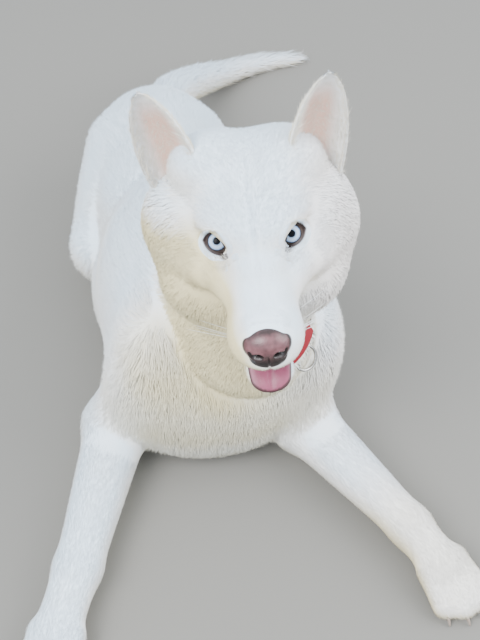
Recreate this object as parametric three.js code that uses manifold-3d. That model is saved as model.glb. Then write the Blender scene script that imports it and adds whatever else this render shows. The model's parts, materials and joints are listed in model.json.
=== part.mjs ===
// A white siberian husky at life size, lying on its chest with the front legs spread and the head up.
// The dog faces -Y, its left side is +X, up is +Z and the floor is Z = 0. All sizes are in millimetres.
import * as THREE from "three";
import { mergeVertices } from "three/addons/utils/BufferGeometryUtils.js";
import Module from "manifold-3d";

const wasm = await Module();
wasm.setup();

// Driving sizes of the dog
const WITHERS_TOP = 300; // height of the back over the shoulders while the dog lies
const RUMP_TOP = 220; // height of the back over the hips
const CHEST_HALF_WIDTH = 130; // over the coat, behind the elbows
const RUMP_HALF_WIDTH = 84;
const HEAD_SCALE = 1.07; // this dog's head against the breed's usual one
const HEAD_PLACE = [36, -76, 430]; // the point midway between the pupils
const HEAD_TURN = [0.141, -0.105, -0.052]; // nose down, top to the dog's right, nose to its left
const EYEBALL_RADIUS = 11;
const FORELEG_RADII = { right: [39, 27, 26], left: [38, 25, 25] }; // elbow, wrist and knuckles
const HINDLEG_RADII = [44, 25, 22]; // knee, hock and heel
const TOE_RADIUS = 14;
const COLLAR_WIDTH = 20;
const COLLAR_THICKNESS = 3;
const RING_RADIUS = 13; // of the collar's metal ring, to the middle of its wire
const RING_WIRE = 1.6; // radius of that wire
const GAP = 0.35; // kept between two nodes that touch
const FLOOR_BITE = 1.5; // what lies on the floor is pressed flat by this much

const v = (x, y, z) => new THREE.Vector3(x, y, z);
const mix = THREE.MathUtils.lerp;
const smooth = THREE.MathUtils.smoothstep;
const SIDES = { right: -1, left: 1 };

// Soft forms. Each is a function that gives the distance from a point to its skin, negative inside.
function ball(centre, radii, turn = new THREE.Euler()) {
  const back = new THREE.Quaternion().setFromEuler(turn).invert();
  const q = v(0, 0, 0);
  return (p) => {
    q.copy(p).sub(centre).applyQuaternion(back);
    const near = Math.hypot(q.x / radii.x, q.y / radii.y, q.z / radii.z);
    const slope = Math.hypot(
      q.x / radii.x ** 2,
      q.y / radii.y ** 2,
      q.z / radii.z ** 2,
    );
    return slope < 1e-9
      ? -Math.min(radii.x, radii.y, radii.z)
      : (near * (near - 1)) / slope;
  };
}

function limb(from, to, radiusFrom, radiusTo) {
  const along = to.clone().sub(from);
  const q = v(0, 0, 0);
  return (p) => {
    q.copy(p).sub(from);
    const t = THREE.MathUtils.clamp(q.dot(along) / along.lengthSq(), 0, 1);
    q.addScaledVector(along, -t);
    return q.length() - mix(radiusFrom, radiusTo, t);
  };
}

// One skin over several soft forms, rounded by softness where they meet.
function blend(forms, softness) {
  return (p) => {
    let sum = 0;
    for (const form of forms) sum += Math.exp(-form(p) / softness);
    return -softness * Math.log(sum);
  };
}

// A closed mesh from rows of points, with a single point at each end.
function closedRows(first, rows, last) {
  const sides = rows[0].length;
  const points = [first, ...rows.flat(), last];
  const index = [];
  const at = (row, side) => 1 + row * sides + (side % sides);
  for (let j = 0; j < sides; j++) {
    index.push(0, at(0, j), at(0, j + 1));
    for (let i = 0; i + 1 < rows.length; i++) {
      index.push(at(i, j), at(i + 1, j + 1), at(i, j + 1));
      index.push(at(i, j), at(i + 1, j), at(i + 1, j + 1));
    }
    index.push(
      points.length - 1,
      at(rows.length - 1, j + 1),
      at(rows.length - 1, j),
    );
  }
  const geometry = new THREE.BufferGeometry().setFromPoints(points);
  geometry.setIndex(index);
  return geometry;
}

// Wraps a closed mesh round a soft form: rays leave a path inside it on all sides and stop at its skin.
function wrap({
  field,
  path,
  rings,
  sides,
  caps = 4,
  reach = 320,
  up = v(0, 0, 1),
  grow = 0,
}) {
  const curve = new THREE.CatmullRomCurve3(path);
  const find = (centre, way) => {
    let far = reach;
    const p = v(0, 0, 0);
    const value = (r) => field(p.copy(centre).addScaledVector(way, r)) - grow;
    for (let d = value(far); d > 0 && far > 0; d = value(far))
      far -= Math.max(d * 0.7, 0.4);
    far = Math.max(far, 0.5);
    let near = far;
    let out = Math.min(far + 6, reach);
    for (let i = 0; i < 14; i++) {
      const middle = (near + out) / 2;
      if (value(middle) < 0) near = middle;
      else out = middle;
    }
    return centre.clone().addScaledVector(way, near);
  };
  const rows = [];
  const ring = (t, lean) => {
    const centre = curve.getPointAt(t);
    const tangent = curve.getTangentAt(t);
    const right = tangent.clone().cross(up).normalize();
    const top = right.clone().cross(tangent).normalize();
    const row = [];
    for (let j = 0; j < sides; j++) {
      const turn = (2 * Math.PI * j) / sides;
      const way = right
        .clone()
        .multiplyScalar(Math.cos(turn))
        .addScaledVector(top, Math.sin(turn));
      way
        .multiplyScalar(Math.cos(lean))
        .addScaledVector(tangent, Math.sin(lean));
      row.push(find(centre, way));
    }
    rows.push(row);
  };
  for (let i = 1; i < caps; i++) ring(0, (-Math.PI / 2) * (1 - i / caps));
  for (let i = 0; i <= rings; i++) ring(i / rings, 0);
  for (let i = 1; i < caps; i++) ring(1, ((Math.PI / 2) * i) / caps);
  const first = find(
    curve.getPointAt(0),
    curve.getTangentAt(0).multiplyScalar(-1),
  );
  const last = find(curve.getPointAt(1), curve.getTangentAt(1));
  return closedRows(first, rows, last);
}

// Solids for joining and cutting
function solid(geometry) {
  const bare = geometry.clone();
  bare.deleteAttribute("normal");
  bare.deleteAttribute("uv");
  const merged = mergeVertices(bare, 1e-3);
  return new wasm.Manifold(
    new wasm.Mesh({
      numProp: 3,
      vertProperties: merged.attributes.position.array,
      triVerts: new Uint32Array(merged.index.array),
    }),
  );
}
const joined = (...parts) => wasm.Manifold.union(parts.flat());
const largest = (body) =>
  body.decompose().sort((a, b) => b.volume() - a.volume())[0];
const boxShape = (low, high) =>
  new THREE.BoxGeometry(high.x - low.x, high.y - low.y, high.z - low.z).translate(
    (low.x + high.x) / 2,
    (low.y + high.y) / 2,
    (low.z + high.z) / 2,
  );
const underFloor = solid(boxShape(v(-900, -900, -400), v(900, 1200, 0)));

function geometryOf(body) {
  const mesh = body.getMesh();
  const geometry = new THREE.BufferGeometry();
  geometry.setAttribute("position", new THREE.BufferAttribute(mesh.vertProperties, 3));
  geometry.setIndex(new THREE.BufferAttribute(mesh.triVerts, 1));
  return geometry;
}

const dog = new THREE.Group();
const SLIVER = 0.08; // faces that stand out by less than this are smoothed away
function addNode(name, body, colour, roughness = 0.8, metalness = 0) {
  const clean = largest(body).simplify(SLIVER);
  const geometry = geometryOf(largest(solid(geometryOf(largest(clean)))));
  geometry.computeVertexNormals();
  const node = new THREE.Mesh(
    geometry,
    new THREE.MeshStandardMaterial({ color: colour, roughness, metalness }),
  );
  node.name = name;
  dog.add(node);
}
const COAT = 0xf4f1ea;

// Each maker of a body takes how far it grows, so that its grown twin can clear room in a neighbour.
const twins = (make) => ({ body: make(0), room: make(GAP) });

// Long coat: flat tapered locks over a core. Each is rooted in the core, follows the outline and bends.
const LOCK_RISE = 5; // how far the tips stand over the smooth outline
const LOCK_SINK = 7; // how far a root goes into the core
const LOCK_STEPS = [0, 0.3, 0.7, 1];
const LOCK_WIDTHS = [0.75, 1, 0.7];
const LOCK_DEPTHS = [0.9, 1, 0.6];
const LOCK_STAND = 1.5; // clear of the core under a lock, in front of its root
const LOCK_GAP = 0.5; // kept round a lock by a neighbour
const ROOM_WIDTH = 6; // how many gaps a lock's room is wider on each side
const ROOM_DEPTH = 2; // and higher over its ridge, and longer at its tip
let seed = 11;
function draw(low, high) {
  seed = (seed * 16807) % 2147483647;
  return mix(low, high, seed / 2147483647);
}
function slopeOf(field, p) {
  const at = field(p);
  const slope = ["x", "y", "z"].map((axis) => {
    const near = p.clone();
    near[axis] += 0.5;
    return field(near) - at;
  });
  return v(...slope).normalize();
}
function settle(field, p, height) {
  for (let i = 0; i < 3; i++) p.addScaledVector(slopeOf(field, p), height - field(p));
  return p;
}
// Draws one lock's own bends and sizes, and gives a maker for it and for its grown twin.
function lock({ field, root, lie, length, width, depth, core, rise = LOCK_RISE, sink = LOCK_SINK }) {
  const long = length * draw(0.88, 1.15);
  const wide = width * draw(0.9, 1.12);
  const bend = draw(-0.3, 0.3);
  const lift = rise * draw(0.6, 1.2);
  const stand = LOCK_STAND - core;
  const heights = [-core - sink, stand, mix(stand, lift, 0.6), lift];
  const spine = [];
  const p = root.clone();
  LOCK_STEPS.forEach((t, i) => {
    if (i > 0) {
      const out = slopeOf(field, p);
      const way = lie.clone().applyAxisAngle(out, bend * t);
      p.addScaledVector(way, long * (t - LOCK_STEPS[i - 1]));
    }
    settle(field, p, heights[i]);
    spine.push({ middle: p.clone(), out: slopeOf(field, p) });
  });
  return (grow) => {
    const rows = LOCK_WIDTHS.map((part, i) => {
      const { middle, out } = spine[i];
      const along = spine[i + 1].middle.clone().sub(middle).normalize();
      const across = along.clone().cross(out).normalize();
      const top = across.clone().cross(along).normalize();
      const half = (part * wide) / 2 + ROOM_WIDTH * grow;
      const ridge = LOCK_DEPTHS[i] * depth + ROOM_DEPTH * grow;
      return [
        middle.clone().addScaledVector(across, half).addScaledVector(top, -grow),
        middle.clone().addScaledVector(top, ridge),
        middle.clone().addScaledVector(across, -half).addScaledVector(top, -grow),
      ];
    });
    const end = spine.at(-1).middle;
    const ahead = end.clone().sub(spine.at(-2).middle).normalize();
    rows.push([end.clone().addScaledVector(ahead, ROOM_DEPTH * grow)]);
    const parts = rows
      .slice(1)
      .map((row, i) =>
        wasm.Manifold.hull([...rows[i], ...row].map((corner) => corner.toArray())),
      );
    return joined(parts);
  };
}
// Where a straight way out of a point leaves a soft form
function skinPoint(field, from, way, far = 260) {
  let low = 0;
  let high = far;
  const p = v(0, 0, 0);
  for (let i = 0; i < 20; i++) {
    const middle = (low + high) / 2;
    if (field(p.copy(from).addScaledVector(way, middle)) < 0) low = middle;
    else high = middle;
  }
  return from.clone().addScaledVector(way, low);
}
// A core and its locks as one body, and their grown twin
function coated(core, locks, frame = new THREE.Matrix4()) {
  const placed = (grow) => locks.map((make) => make(grow).transform(frame.elements));
  const locksRoom = joined(placed(LOCK_GAP));
  return {
    body: joined(core.body, placed(0)),
    room: joined(core.room, locksRoom),
    locksRoom,
  };
}

// Trunk. The spine bends: the chest lies to the dog's left of its hips.
const spineX = (y) => mix(14, -31, smooth(y, 20, 400));
const onSpine = (x, y, z) => v(spineX(y) + x, y, z);
const trunkField = blend(
  [
    ball(onSpine(0, 120, 148), v(CHEST_HALF_WIDTH, 165, 148)),
    ball(v(2, -6, 114), v(122, 55, 106)),
    ball(v(-62, 24, 150), v(46, 70, 100), new THREE.Euler(0.25, 0, 0)),
    ball(v(110, 36, 140), v(50, 72, 96), new THREE.Euler(0.25, 0, 0)),
    ball(onSpine(0, 55, WITHERS_TOP - 42), v(50, 88, 42)),
    ball(onSpine(0, 290, 136), v(98, 140, 94)),
    ball(onSpine(0, 195, 78), v(128, 150, 78)),
    ball(onSpine(0, 398, RUMP_TOP - 82), v(RUMP_HALF_WIDTH, 86, 82)),
    ball(onSpine(0, 452, 112), v(62, 46, 60)),
  ],
  14,
);
const TRUNK_COAT = 6; // depth of the trunk's core under the smooth outline, none near the floor
const trunkCore = twins((grow) =>
  solid(
    wrap({
      field: (p) => trunkField(p) + TRUNK_COAT * smooth(p.z, 15, 90),
      path: [
        onSpine(0, -10, 135),
        onSpine(0, 120, 145),
        onSpine(0, 280, 130),
        onSpine(0, 420, 128),
      ],
      rings: 13,
      sides: 20,
      caps: 4,
      grow,
    }),
  ),
);
const trunkLocks = [];
// Back and flanks, in rows that lie towards the tail and hang lower down the sides
const BACK_ROWS = [160, 245, 330, 405];
const BACK_TURNS = [-1.6, -0.95, -0.3, 0.35, 1];
const THIGHS = { from: 300, turn: 1 }; // the coat is short over them
BACK_ROWS.forEach((y, row) => {
  for (const turn of BACK_TURNS) {
    const angle = turn + (row % 2) * 0.33;
    if (y > THIGHS.from && Math.abs(angle) > THIGHS.turn) continue;
    const way = v(Math.sin(angle), 0, Math.cos(angle));
    trunkLocks.push(
      lock({
        field: trunkField,
        root: skinPoint(trunkField, onSpine(0, y, 130), way),
        lie: v(0.1 * Math.sin(angle), 1, -0.5 * Math.abs(Math.sin(angle))).normalize(),
        length: 88,
        width: 56,
        depth: 9,
        core: TRUNK_COAT,
      }),
    );
  }
});
// Rump, where the coat hangs behind the thighs
for (const turn of [-1.2, 0, 1.2])
  trunkLocks.push(
    lock({
      field: trunkField,
      root: skinPoint(
        trunkField,
        onSpine(0, 420, 120),
        v(Math.sin(turn), 0.7, Math.cos(turn) * 0.5).normalize(),
      ),
      lie: v(0.2 * Math.sin(turn), 0.6, -0.8).normalize(),
      length: 64,
      width: 42,
      depth: 9,
      core: TRUNK_COAT,
    }),
  );
const trunk = coated(trunkCore, trunkLocks);

// Front legs
const FORELEGS = {
  right: {
    shoulder: v(-70, 6, 122),
    elbow: v(-112, 4, 48),
    wrist: v(-165, -168, 32),
    knuckle: v(-189, -234, 26),
    toe: v(-207, -298, 14),
  },
  left: {
    shoulder: v(92, 6, 120),
    elbow: v(110, -12, 42),
    wrist: v(208, -162, 31),
    knuckle: v(233, -208, 26),
    toe: v(258, -262, 14),
  },
};

// The four toes of a paw, each from its knuckle to the middle of its tip
function toesOf(knuckle, toe, radius) {
  const way = toe.clone().sub(knuckle);
  const out = v(-way.y, way.x, 0).normalize();
  return [0, 1, 2, 3].map((i) => {
    const across = (i - 1.5) * radius * 1.16;
    const inner = i === 1 || i === 2;
    const start = knuckle
      .clone()
      .addScaledVector(out, across * 0.7)
      .addScaledVector(way, inner ? 0.2 : 0.05);
    const end = knuckle
      .clone()
      .addScaledVector(out, across)
      .addScaledVector(way, inner ? 0.82 : 0.64);
    end.z = radius - FLOOR_BITE;
    return { start, end };
  });
}
const pawForms = (toes, radius) =>
  toes.map(({ start, end }) => limb(start, end, radius * 1.05, radius));

// A short blunt claw out of the front of each toe, just clear of the floor
const CLAW_LENGTH = 11;
const CLAW_RADIUS = 2.6;
const CLAW_TIP_RADIUS = 0.7;
const CLAW_AHEAD = 0.62; // of the toe's radius, from the middle of its tip to the claw's root
const CLAW_HEIGHT = 0.85; // of the toe's radius, over the floor
function addClaws(paw, toes, radius, room) {
  toes.forEach(({ start, end }, i) => {
    const way = end.clone().sub(start).setZ(0).normalize();
    const root = end.clone().addScaledVector(way, radius * CLAW_AHEAD);
    root.z = radius * CLAW_HEIGHT;
    const tip = root.clone().addScaledVector(way, CLAW_LENGTH).setZ(CLAW_RADIUS / 2);
    const along = tip.clone().sub(root);
    const claw = new THREE.CylinderGeometry(CLAW_TIP_RADIUS, CLAW_RADIUS, along.length(), 6)
      .translate(0, along.length() / 2, 0)
      .applyQuaternion(
        new THREE.Quaternion().setFromUnitVectors(v(0, 1, 0), along.normalize()),
      )
      .translate(...root.toArray());
    addNode(`claw_${paw}_${i + 1}`, solid(claw).subtract(room), 0xb9a79a, 0.4);
  });
}

for (const [name, leg] of Object.entries(FORELEGS)) {
  const [atElbow, atWrist, atKnuckle] = FORELEG_RADII[name];
  const toes = toesOf(leg.knuckle, leg.toe, TOE_RADIUS);
  const field = blend(
    [
      limb(leg.shoulder, leg.elbow, 46, atElbow + 4),
      limb(leg.elbow, leg.wrist, atElbow, atWrist),
      limb(leg.wrist, leg.knuckle, atWrist, atKnuckle),
      ...pawForms(toes, TOE_RADIUS),
    ],
    5,
  );
  const foreleg = twins((grow) =>
    solid(
      wrap({
        field,
        path: [
          leg.shoulder.clone().lerp(leg.elbow, 0.35),
          leg.shoulder.clone().lerp(leg.elbow, 0.85),
          leg.elbow.clone().lerp(leg.wrist, 0.35),
          leg.wrist,
          leg.knuckle,
          leg.knuckle.clone().lerp(leg.toe, 0.6),
        ],
        rings: 16,
        sides: 14,
        caps: 3,
        reach: 120,
        grow,
      }),
    ),
  );
  addNode(
    "foreleg_" + name,
    foreleg.body.subtract(trunk.room).subtract(underFloor),
    COAT,
  );
  addClaws("front_" + name, toes, TOE_RADIUS, foreleg.room);
}

// Hind legs, folded under the flanks
for (const [name, side] of Object.entries(SIDES)) {
  const [atKnee, atHock, atHeel] = HINDLEG_RADII;
  const hip = onSpine(side * 40, 395, 140);
  const knee = onSpine(side * 92, 268, 84);
  const hock = onSpine(side * 80, 430, 38);
  const heel = onSpine(side * 82, 360, 28);
  const knuckle = onSpine(side * 88, 275, 24);
  const toe = onSpine(side * 90, 222, 14);
  const toes = toesOf(knuckle, toe, TOE_RADIUS - 1);
  const thigh = blend(
    [
      ball(
        onSpine(side * 50, 350, 118),
        v(54, 104, 74),
        new THREE.Euler(0.3, 0, side * 0.3),
      ),
      limb(hip, knee, 56, atKnee),
      limb(knee, hock, 40, atHock),
    ],
    8,
  );
  const foot = blend(
    [
      limb(hock, heel, atHock, atHeel),
      limb(heel, knuckle, atHeel, atHeel),
      ...pawForms(toes, TOE_RADIUS - 1),
    ],
    5,
  );
  const hindleg = twins((grow) =>
    joined(
      solid(
        wrap({
          field: thigh,
          path: [
            onSpine(side * 58, 425, 118),
            onSpine(side * 70, 365, 115),
            onSpine(side * 84, 305, 98),
          ],
          rings: 6,
          sides: 14,
          caps: 3,
          reach: 160,
          grow,
        }),
      ),
      solid(
        wrap({
          field: foot,
          path: [hock, heel, knuckle, knuckle.clone().lerp(toe, 0.6)],
          rings: 9,
          sides: 10,
          caps: 3,
          reach: 70,
          grow,
        }),
      ),
    ),
  );
  addNode(
    "hindleg_" + name,
    hindleg.body.subtract(trunk.room).subtract(underFloor),
    COAT,
  );
  addClaws("hind_" + name, toes, TOE_RADIUS - 1, joined(hindleg.room, trunk.room));
}

// Tail, in two lengths. It leaves the rump low and lies on the floor, swept to the dog's left.
const tailPath = new THREE.CatmullRomCurve3([
  v(-25, 470, 118),
  v(-4, 546, 107),
  v(33, 626, 70),
  v(92, 702, 29),
  v(153, 741, 15),
  v(205, 755, 9),
  v(233, 760, 6),
]);
const TAIL_RADII = [36, 6.5]; // over the coat, at its root and its tip
const TAIL_TAPER = 1.7; // how late it thins
const TAIL_CORE = 0.62; // of that radius
const tailRadius = (t) => mix(...TAIL_RADII, t ** TAIL_TAPER) * (1 - 6 * Math.max(t - 0.93, 0));
function tailForm(part) {
  const pieces = 16;
  const forms = [];
  for (let i = 0; i < pieces; i++) {
    const [a, b] = [i / pieces, (i + 1) / pieces];
    forms.push(
      limb(
        tailPath.getPointAt(a),
        tailPath.getPointAt(b),
        tailRadius(a) * part,
        tailRadius(b) * part,
      ),
    );
  }
  return blend(forms, 2);
}
const tailField = tailForm(1);
const tailCoreField = tailForm(TAIL_CORE);
const tailCore = (t0, t1, rings) =>
  twins((grow) =>
    solid(
      wrap({
        field: tailCoreField,
        path: [0, 0.25, 0.5, 0.75, 1].map((k) => tailPath.getPointAt(mix(t0, t1, k))),
        rings,
        sides: 10,
        caps: 3,
        reach: 30,
        grow,
      }),
    ),
  );
function tailLocks(places, around) {
  return places.flatMap((t, ring) => {
    const middle = tailPath.getPointAt(t);
    const along = tailPath.getTangentAt(t);
    const right = along.clone().cross(v(0, 0, 1)).normalize();
    const top = right.clone().cross(along);
    const radius = tailRadius(t);
    return Array.from({ length: around }, (_, i) => {
      const turn = (2 * Math.PI * (i + (ring % 2) * 0.5)) / around;
      const way = right
        .clone()
        .multiplyScalar(Math.cos(turn))
        .addScaledVector(top, Math.sin(turn));
      return lock({
        field: tailField,
        root: middle.clone().addScaledVector(way, radius),
        lie: along,
        length: mix(82, 50, t),
        width: (7 * radius) / around,
        depth: mix(9, 6, t),
        core: radius * (1 - TAIL_CORE),
        rise: 2,
        sink: radius * 0.2,
      });
    });
  });
}
const TAIL_SPLIT = 0.5;
const tailRoot = coated(
  tailCore(0.05, TAIL_SPLIT, 8),
  tailLocks([0.07, 0.21, 0.35], 4),
);
const tailEndCore = tailCore(TAIL_SPLIT, 0.97, 7);
const tailEnd = coated(tailEndCore, tailLocks([0.56, 0.71, 0.87], 4));
addNode(
  "tail_root",
  tailRoot.body.subtract(trunk.room).subtract(tailEndCore.room).subtract(underFloor),
  COAT,
);
addNode(
  "tail_end",
  tailEnd.body.subtract(tailRoot.locksRoom).subtract(underFloor),
  COAT,
);

// Head. Its own frame lies midway between the pupils: x to the dog's left, y back, z up.
const headFrame = new THREE.Matrix4().compose(
  v(...HEAD_PLACE),
  new THREE.Quaternion().setFromEuler(new THREE.Euler(...HEAD_TURN, "YXZ")),
  v(HEAD_SCALE, HEAD_SCALE, HEAD_SCALE),
);
const headFrameBack = headFrame.clone().invert();
const onHead = (x, y, z) => v(x, y, z).applyMatrix4(headFrame);
const inHead = (form) => {
  const q = v(0, 0, 0);
  return (p) => form(q.copy(p).applyMatrix4(headFrameBack)) * HEAD_SCALE;
};
const headSolid = (geometry) => solid(geometry.applyMatrix4(headFrame));

const EYE = v(30, 5, -9); // middle of the left eyeball
const EYE_AXIS = v(0.2, -0.68, 0.7); // straight out of the left eye's opening
const EYE_OPENING = [
  [-10.7, -8.6], // inner corner, across and up
  [2.3, 18.5], // pulls the upper lid into its arc
  [10.4, 1], // outer corner
  [3.3, -9.9], // pulls the lower lid
];
const both = (make) => Object.values(SIDES).flatMap(make);
const headField = blend(
  [
    ball(v(0, 47, 4), v(55, 54, 44)), // brain case
    ball(v(0, 11, 6), v(35, 32, 24)), // forehead
    ball(v(0, -12, -8), v(20, 26, 15)), // stop
    ...both((side) => [

      ball(v(side * 26, 11, 10), v(17, 13, 10)), // brow
      ball(v(side * 36, 36, -30), v(34, 42, 37)), // cheek
      ball(v(side * 37, 20, -42), v(33, 34, 24)), // jowl
      ball(v(side * 24, -4, -34), v(21, 30, 22)), // under the eye
      ball(v(side * 15.5, -65, -45), v(15, 21, 15)), // lips beside the nose
    ]),
    limb(v(0, -4, -22), v(0, -69, -34), 27, 18), // bridge of the muzzle
    ball(v(28, 58, 22), v(38, 32, 30)), // crown between the ears
    ball(v(-28, 58, 26), v(38, 32, 30)),
    limb(v(0, -8, -40), v(0, -60, -45), 34, 25), // upper lips
    ball(v(0, -77, -51.5), v(23, 18, 10.5)), // lip under the nose
    ball(v(0, 40, -44), v(46, 44, 34)), // throat
  ],
  5,
);
const headCore = twins((grow) =>
  headSolid(
    wrap({
      field: headField,
      path: [v(0, 60, -8), v(0, 20, -12), v(0, -20, -30), v(0, -66, -42)],
      rings: 21,
      sides: 26,
      caps: 4,
      reach: 130,
      grow,
    }),
  ),
);

// Eyes. Lids are drawn over each eyeball, with an almond opening between them.
const atEye = (side) => v(side * EYE.x, EYE.y, EYE.z);
const eyeBall = (side, radius) =>
  headSolid(new THREE.SphereGeometry(radius, 12, 9).translate(...atEye(side).toArray()));
function eyeOpening(side) {
  const outline = new THREE.Shape();
  const [inner, top, outer, under] = EYE_OPENING.map(([x, y]) => [x * side, y]);
  outline.moveTo(...inner);
  outline.quadraticCurveTo(...top, ...outer);
  outline.quadraticCurveTo(...under, ...inner);
  const axis = v(side * EYE_AXIS.x, EYE_AXIS.y, EYE_AXIS.z).normalize();
  const across = v(0, 0, 1).cross(axis).normalize();
  const upward = axis.clone().cross(across);
  return headSolid(
    new THREE.ExtrudeGeometry(outline, {
      depth: 34,
      bevelEnabled: false,
      curveSegments: 6,
    }).applyMatrix4(
      new THREE.Matrix4().makeBasis(across, upward, axis).setPosition(atEye(side)),
    ),
  );
}
const LID = 2; // thickness of a lid
const lids = both((side) => eyeBall(side, EYEBALL_RADIUS + LID));
const eyeRoom = both((side) => [
  eyeBall(side, EYEBALL_RADIUS + GAP),
  eyeOpening(side),
]);

// Nose leather, with two nostrils
const nostrils = joined(
  both((side) =>
    headSolid(
      new THREE.SphereGeometry(1, 10, 8)
        .scale(4.2, 8, 3.2)
        .rotateY(side * 0.5)
        .translate(side * 12.5, -93, -36),
    ),
  ),
);
const noseField = blend(
  [
    ball(v(0, -81, -32), v(19, 13.5, 13.5)),
    ball(v(0, -86, -44), v(16, 11, 10)),
    ...both((side) => ball(v(side * 11.3, -81, -34), v(8, 9, 9))),
  ],
  2,
);
const nose = twins((grow) =>
  headSolid(
    wrap({
      field: noseField,
      path: [v(0, -76, -36), v(0, -80, -36), v(0, -86, -37)],
      rings: 3,
      sides: 16,
      caps: 4,
      reach: 40,
      grow,
    }),
  ),
);

// The mouth is a wedge that opens forward from the corners of the lips.
const MOUTH_CORNER = [-14, -58]; // back and height of the corners
const UPPER_LIP = [-110, -60];
const LOWER_LIP = [-110, -99];
const OVER_MOUTH = 20;
const UNDER_JAW = -150;
// A block across the head, from an outline given as back and height
function acrossHead(outline) {
  const width = 120;
  const turned = new THREE.Matrix4().makeBasis(v(0, 1, 0), v(0, 0, 1), v(1, 0, 0));
  return headSolid(
    new THREE.ExtrudeGeometry(
      new THREE.Shape(outline.map(([y, z]) => new THREE.Vector2(y, z))),
      { depth: width, bevelEnabled: false },
    )
      .translate(0, 0, -width / 2)
      .applyMatrix4(turned),
  );
}
const underUpperLip = acrossHead([
  MOUTH_CORNER,
  UPPER_LIP,
  [UPPER_LIP[0], UNDER_JAW],
  [MOUTH_CORNER[0], UNDER_JAW],
]);
const aboveJaw = acrossHead([
  MOUTH_CORNER,
  LOWER_LIP,
  [LOWER_LIP[0], OVER_MOUTH],
  [MOUTH_CORNER[0], OVER_MOUTH],
]);
const MOUTH_TURN = new THREE.Euler(0.41, 0, 0); // slope of the lower jaw
const tongueField = blend(
  [
    ball(v(0, -50, -74), v(19, 34, 5), MOUTH_TURN),
    ball(v(0, -80, -88), v(18, 16, 4.5), MOUTH_TURN),
  ],
  2,
);
const tongueGroove = headSolid(
  wrap({
    field: limb(v(0, -14, -49), v(0, -94, -83.5), 2.4, 2.2),
    path: [v(0, -16, -50), v(0, -92, -83)],
    rings: 4,
    sides: 8,
    caps: 2,
    reach: 10,
  }),
);
const tongue = twins((grow) =>
  headSolid(
    wrap({
      field: tongueField,
      path: [v(0, -26, -63.5), v(0, -50, -74), v(0, -84, -89.5)],
      rings: 9,
      sides: 14,
      caps: 3,
      reach: 40,
      grow,
    }),
  ),
);
const jawField = blend(
  [
    limb(v(0, 26, -62), v(0, -60, -92), 29, 17),
    ball(v(0, -73, -95), v(21, 18, 10), MOUTH_TURN),
  ],
  3,
);
const jaw = twins((grow) =>
  headSolid(
    wrap({
      field: jawField,
      path: [v(0, 16, -66), v(0, -20, -79), v(0, -74, -96)],
      rings: 10,
      sides: 16,
      caps: 3,
      reach: 50,
      grow,
    }),
  ),
);
// Tufts of the cheeks, which point back over the ruff
const CHEEK_TURNS = [0.3, -0.3, -0.9];
const cheekTufts = both((side) =>
  CHEEK_TURNS.map((turn) =>
    lock({
      field: headField,
      root: skinPoint(
        headField,
        v(side * 20, 46, -22),
        v(side * Math.cos(turn), 0.1, Math.sin(turn)).normalize(),
        90,
      ),
      lie: v(side * 0.5, 0.8, -0.35).normalize(),
      length: 34,
      width: 26,
      depth: 7,
      core: 0,
    }),
  ),
);
const furred = coated(headCore, cheekTufts, headFrame);
const head = {
  body: joined(furred.body, lids)
    .subtract(joined(eyeRoom))
    .subtract(nose.room)
    .subtract(underUpperLip),
  room: furred.room.subtract(underUpperLip),
};
addNode(
  "jaw",
  jaw.body.subtract(aboveJaw).subtract(tongue.room).subtract(head.room),
  COAT,
);
addNode(
  "tongue",
  tongue.body.subtract(tongueGroove).subtract(head.room),
  0xd98a95,
  0.35,
);
addNode("nose", nose.body.subtract(nostrils), 0x8a6a6c, 0.45);
for (const [name, side] of Object.entries(SIDES))
  addNode("eye_" + name, eyeBall(side, EYEBALL_RADIUS), 0xb9cfe6, 0.08);

// Ears: a tapering cup, open to the front, with a rounded tip
const EAR_BASE = v(59, 54, 24);
const EAR_TIPS = { right: v(-75, 70, 104), left: v(71, 70, 101) };
const EAR_FACE = v(0.3, -0.95, 0.1); // where the cup opens
const EAR_BOW = 1; // both ears bow a little to the dog's right
const EAR_WALL = 3.2;
const earWidth = new THREE.CatmullRomCurve3(
  [24, 26, 26, 23, 17, 5].map((half, i) => v(i / 5, half, 0)),
);
function earShape(side, grow, inside) {
  const base = EAR_BASE.clone().setX(side * EAR_BASE.x);
  const tip = side < 0 ? EAR_TIPS.right : EAR_TIPS.left;
  const axis = tip.clone().sub(base);
  const face = v(side * EAR_FACE.x, EAR_FACE.y, EAR_FACE.z);
  face.addScaledVector(axis, -face.dot(axis) / axis.lengthSq()).normalize();
  const across = face.clone().cross(axis).normalize().multiplyScalar(side);
  const from = -0.3;
  const to = inside ? 0.93 : 1;
  const rows = [];
  for (let i = 0; i <= 8; i++) {
    const t = mix(from, to, i / 8);
    const k = THREE.MathUtils.clamp((t + 0.3) / 1.3, 0, 1);
    const half = earWidth.getPoint(k).y;
    const width = inside ? half - EAR_WALL : half + grow;
    const depth = inside ? half * 0.62 + 1 : half * 0.6 + grow;
    const centre = base
      .clone()
      .addScaledVector(axis, t)
      .addScaledVector(across, side * EAR_BOW * Math.sin(Math.PI * k))
      .addScaledVector(face, inside ? mix(5, 2.2, k) : 0);
    const row = [];
    for (let j = 0; j < 12; j++) {
      const turn = ((2 * Math.PI * j) / 12) * -side;
      row.push(
        centre
          .clone()
          .addScaledVector(across, Math.max(width, 1) * Math.cos(turn))
          .addScaledVector(face, Math.max(depth, 1) * Math.sin(turn)),
      );
    }
    rows.push(row);
  }
  const middle = (row) =>
    row.reduce((sum, p) => sum.add(p), v(0, 0, 0)).divideScalar(row.length);
  const first = middle(rows[0]);
  const last = middle(rows.at(-1)).addScaledVector(axis, 0.02);
  return headSolid(closedRows(first, rows, last));
}

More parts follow.
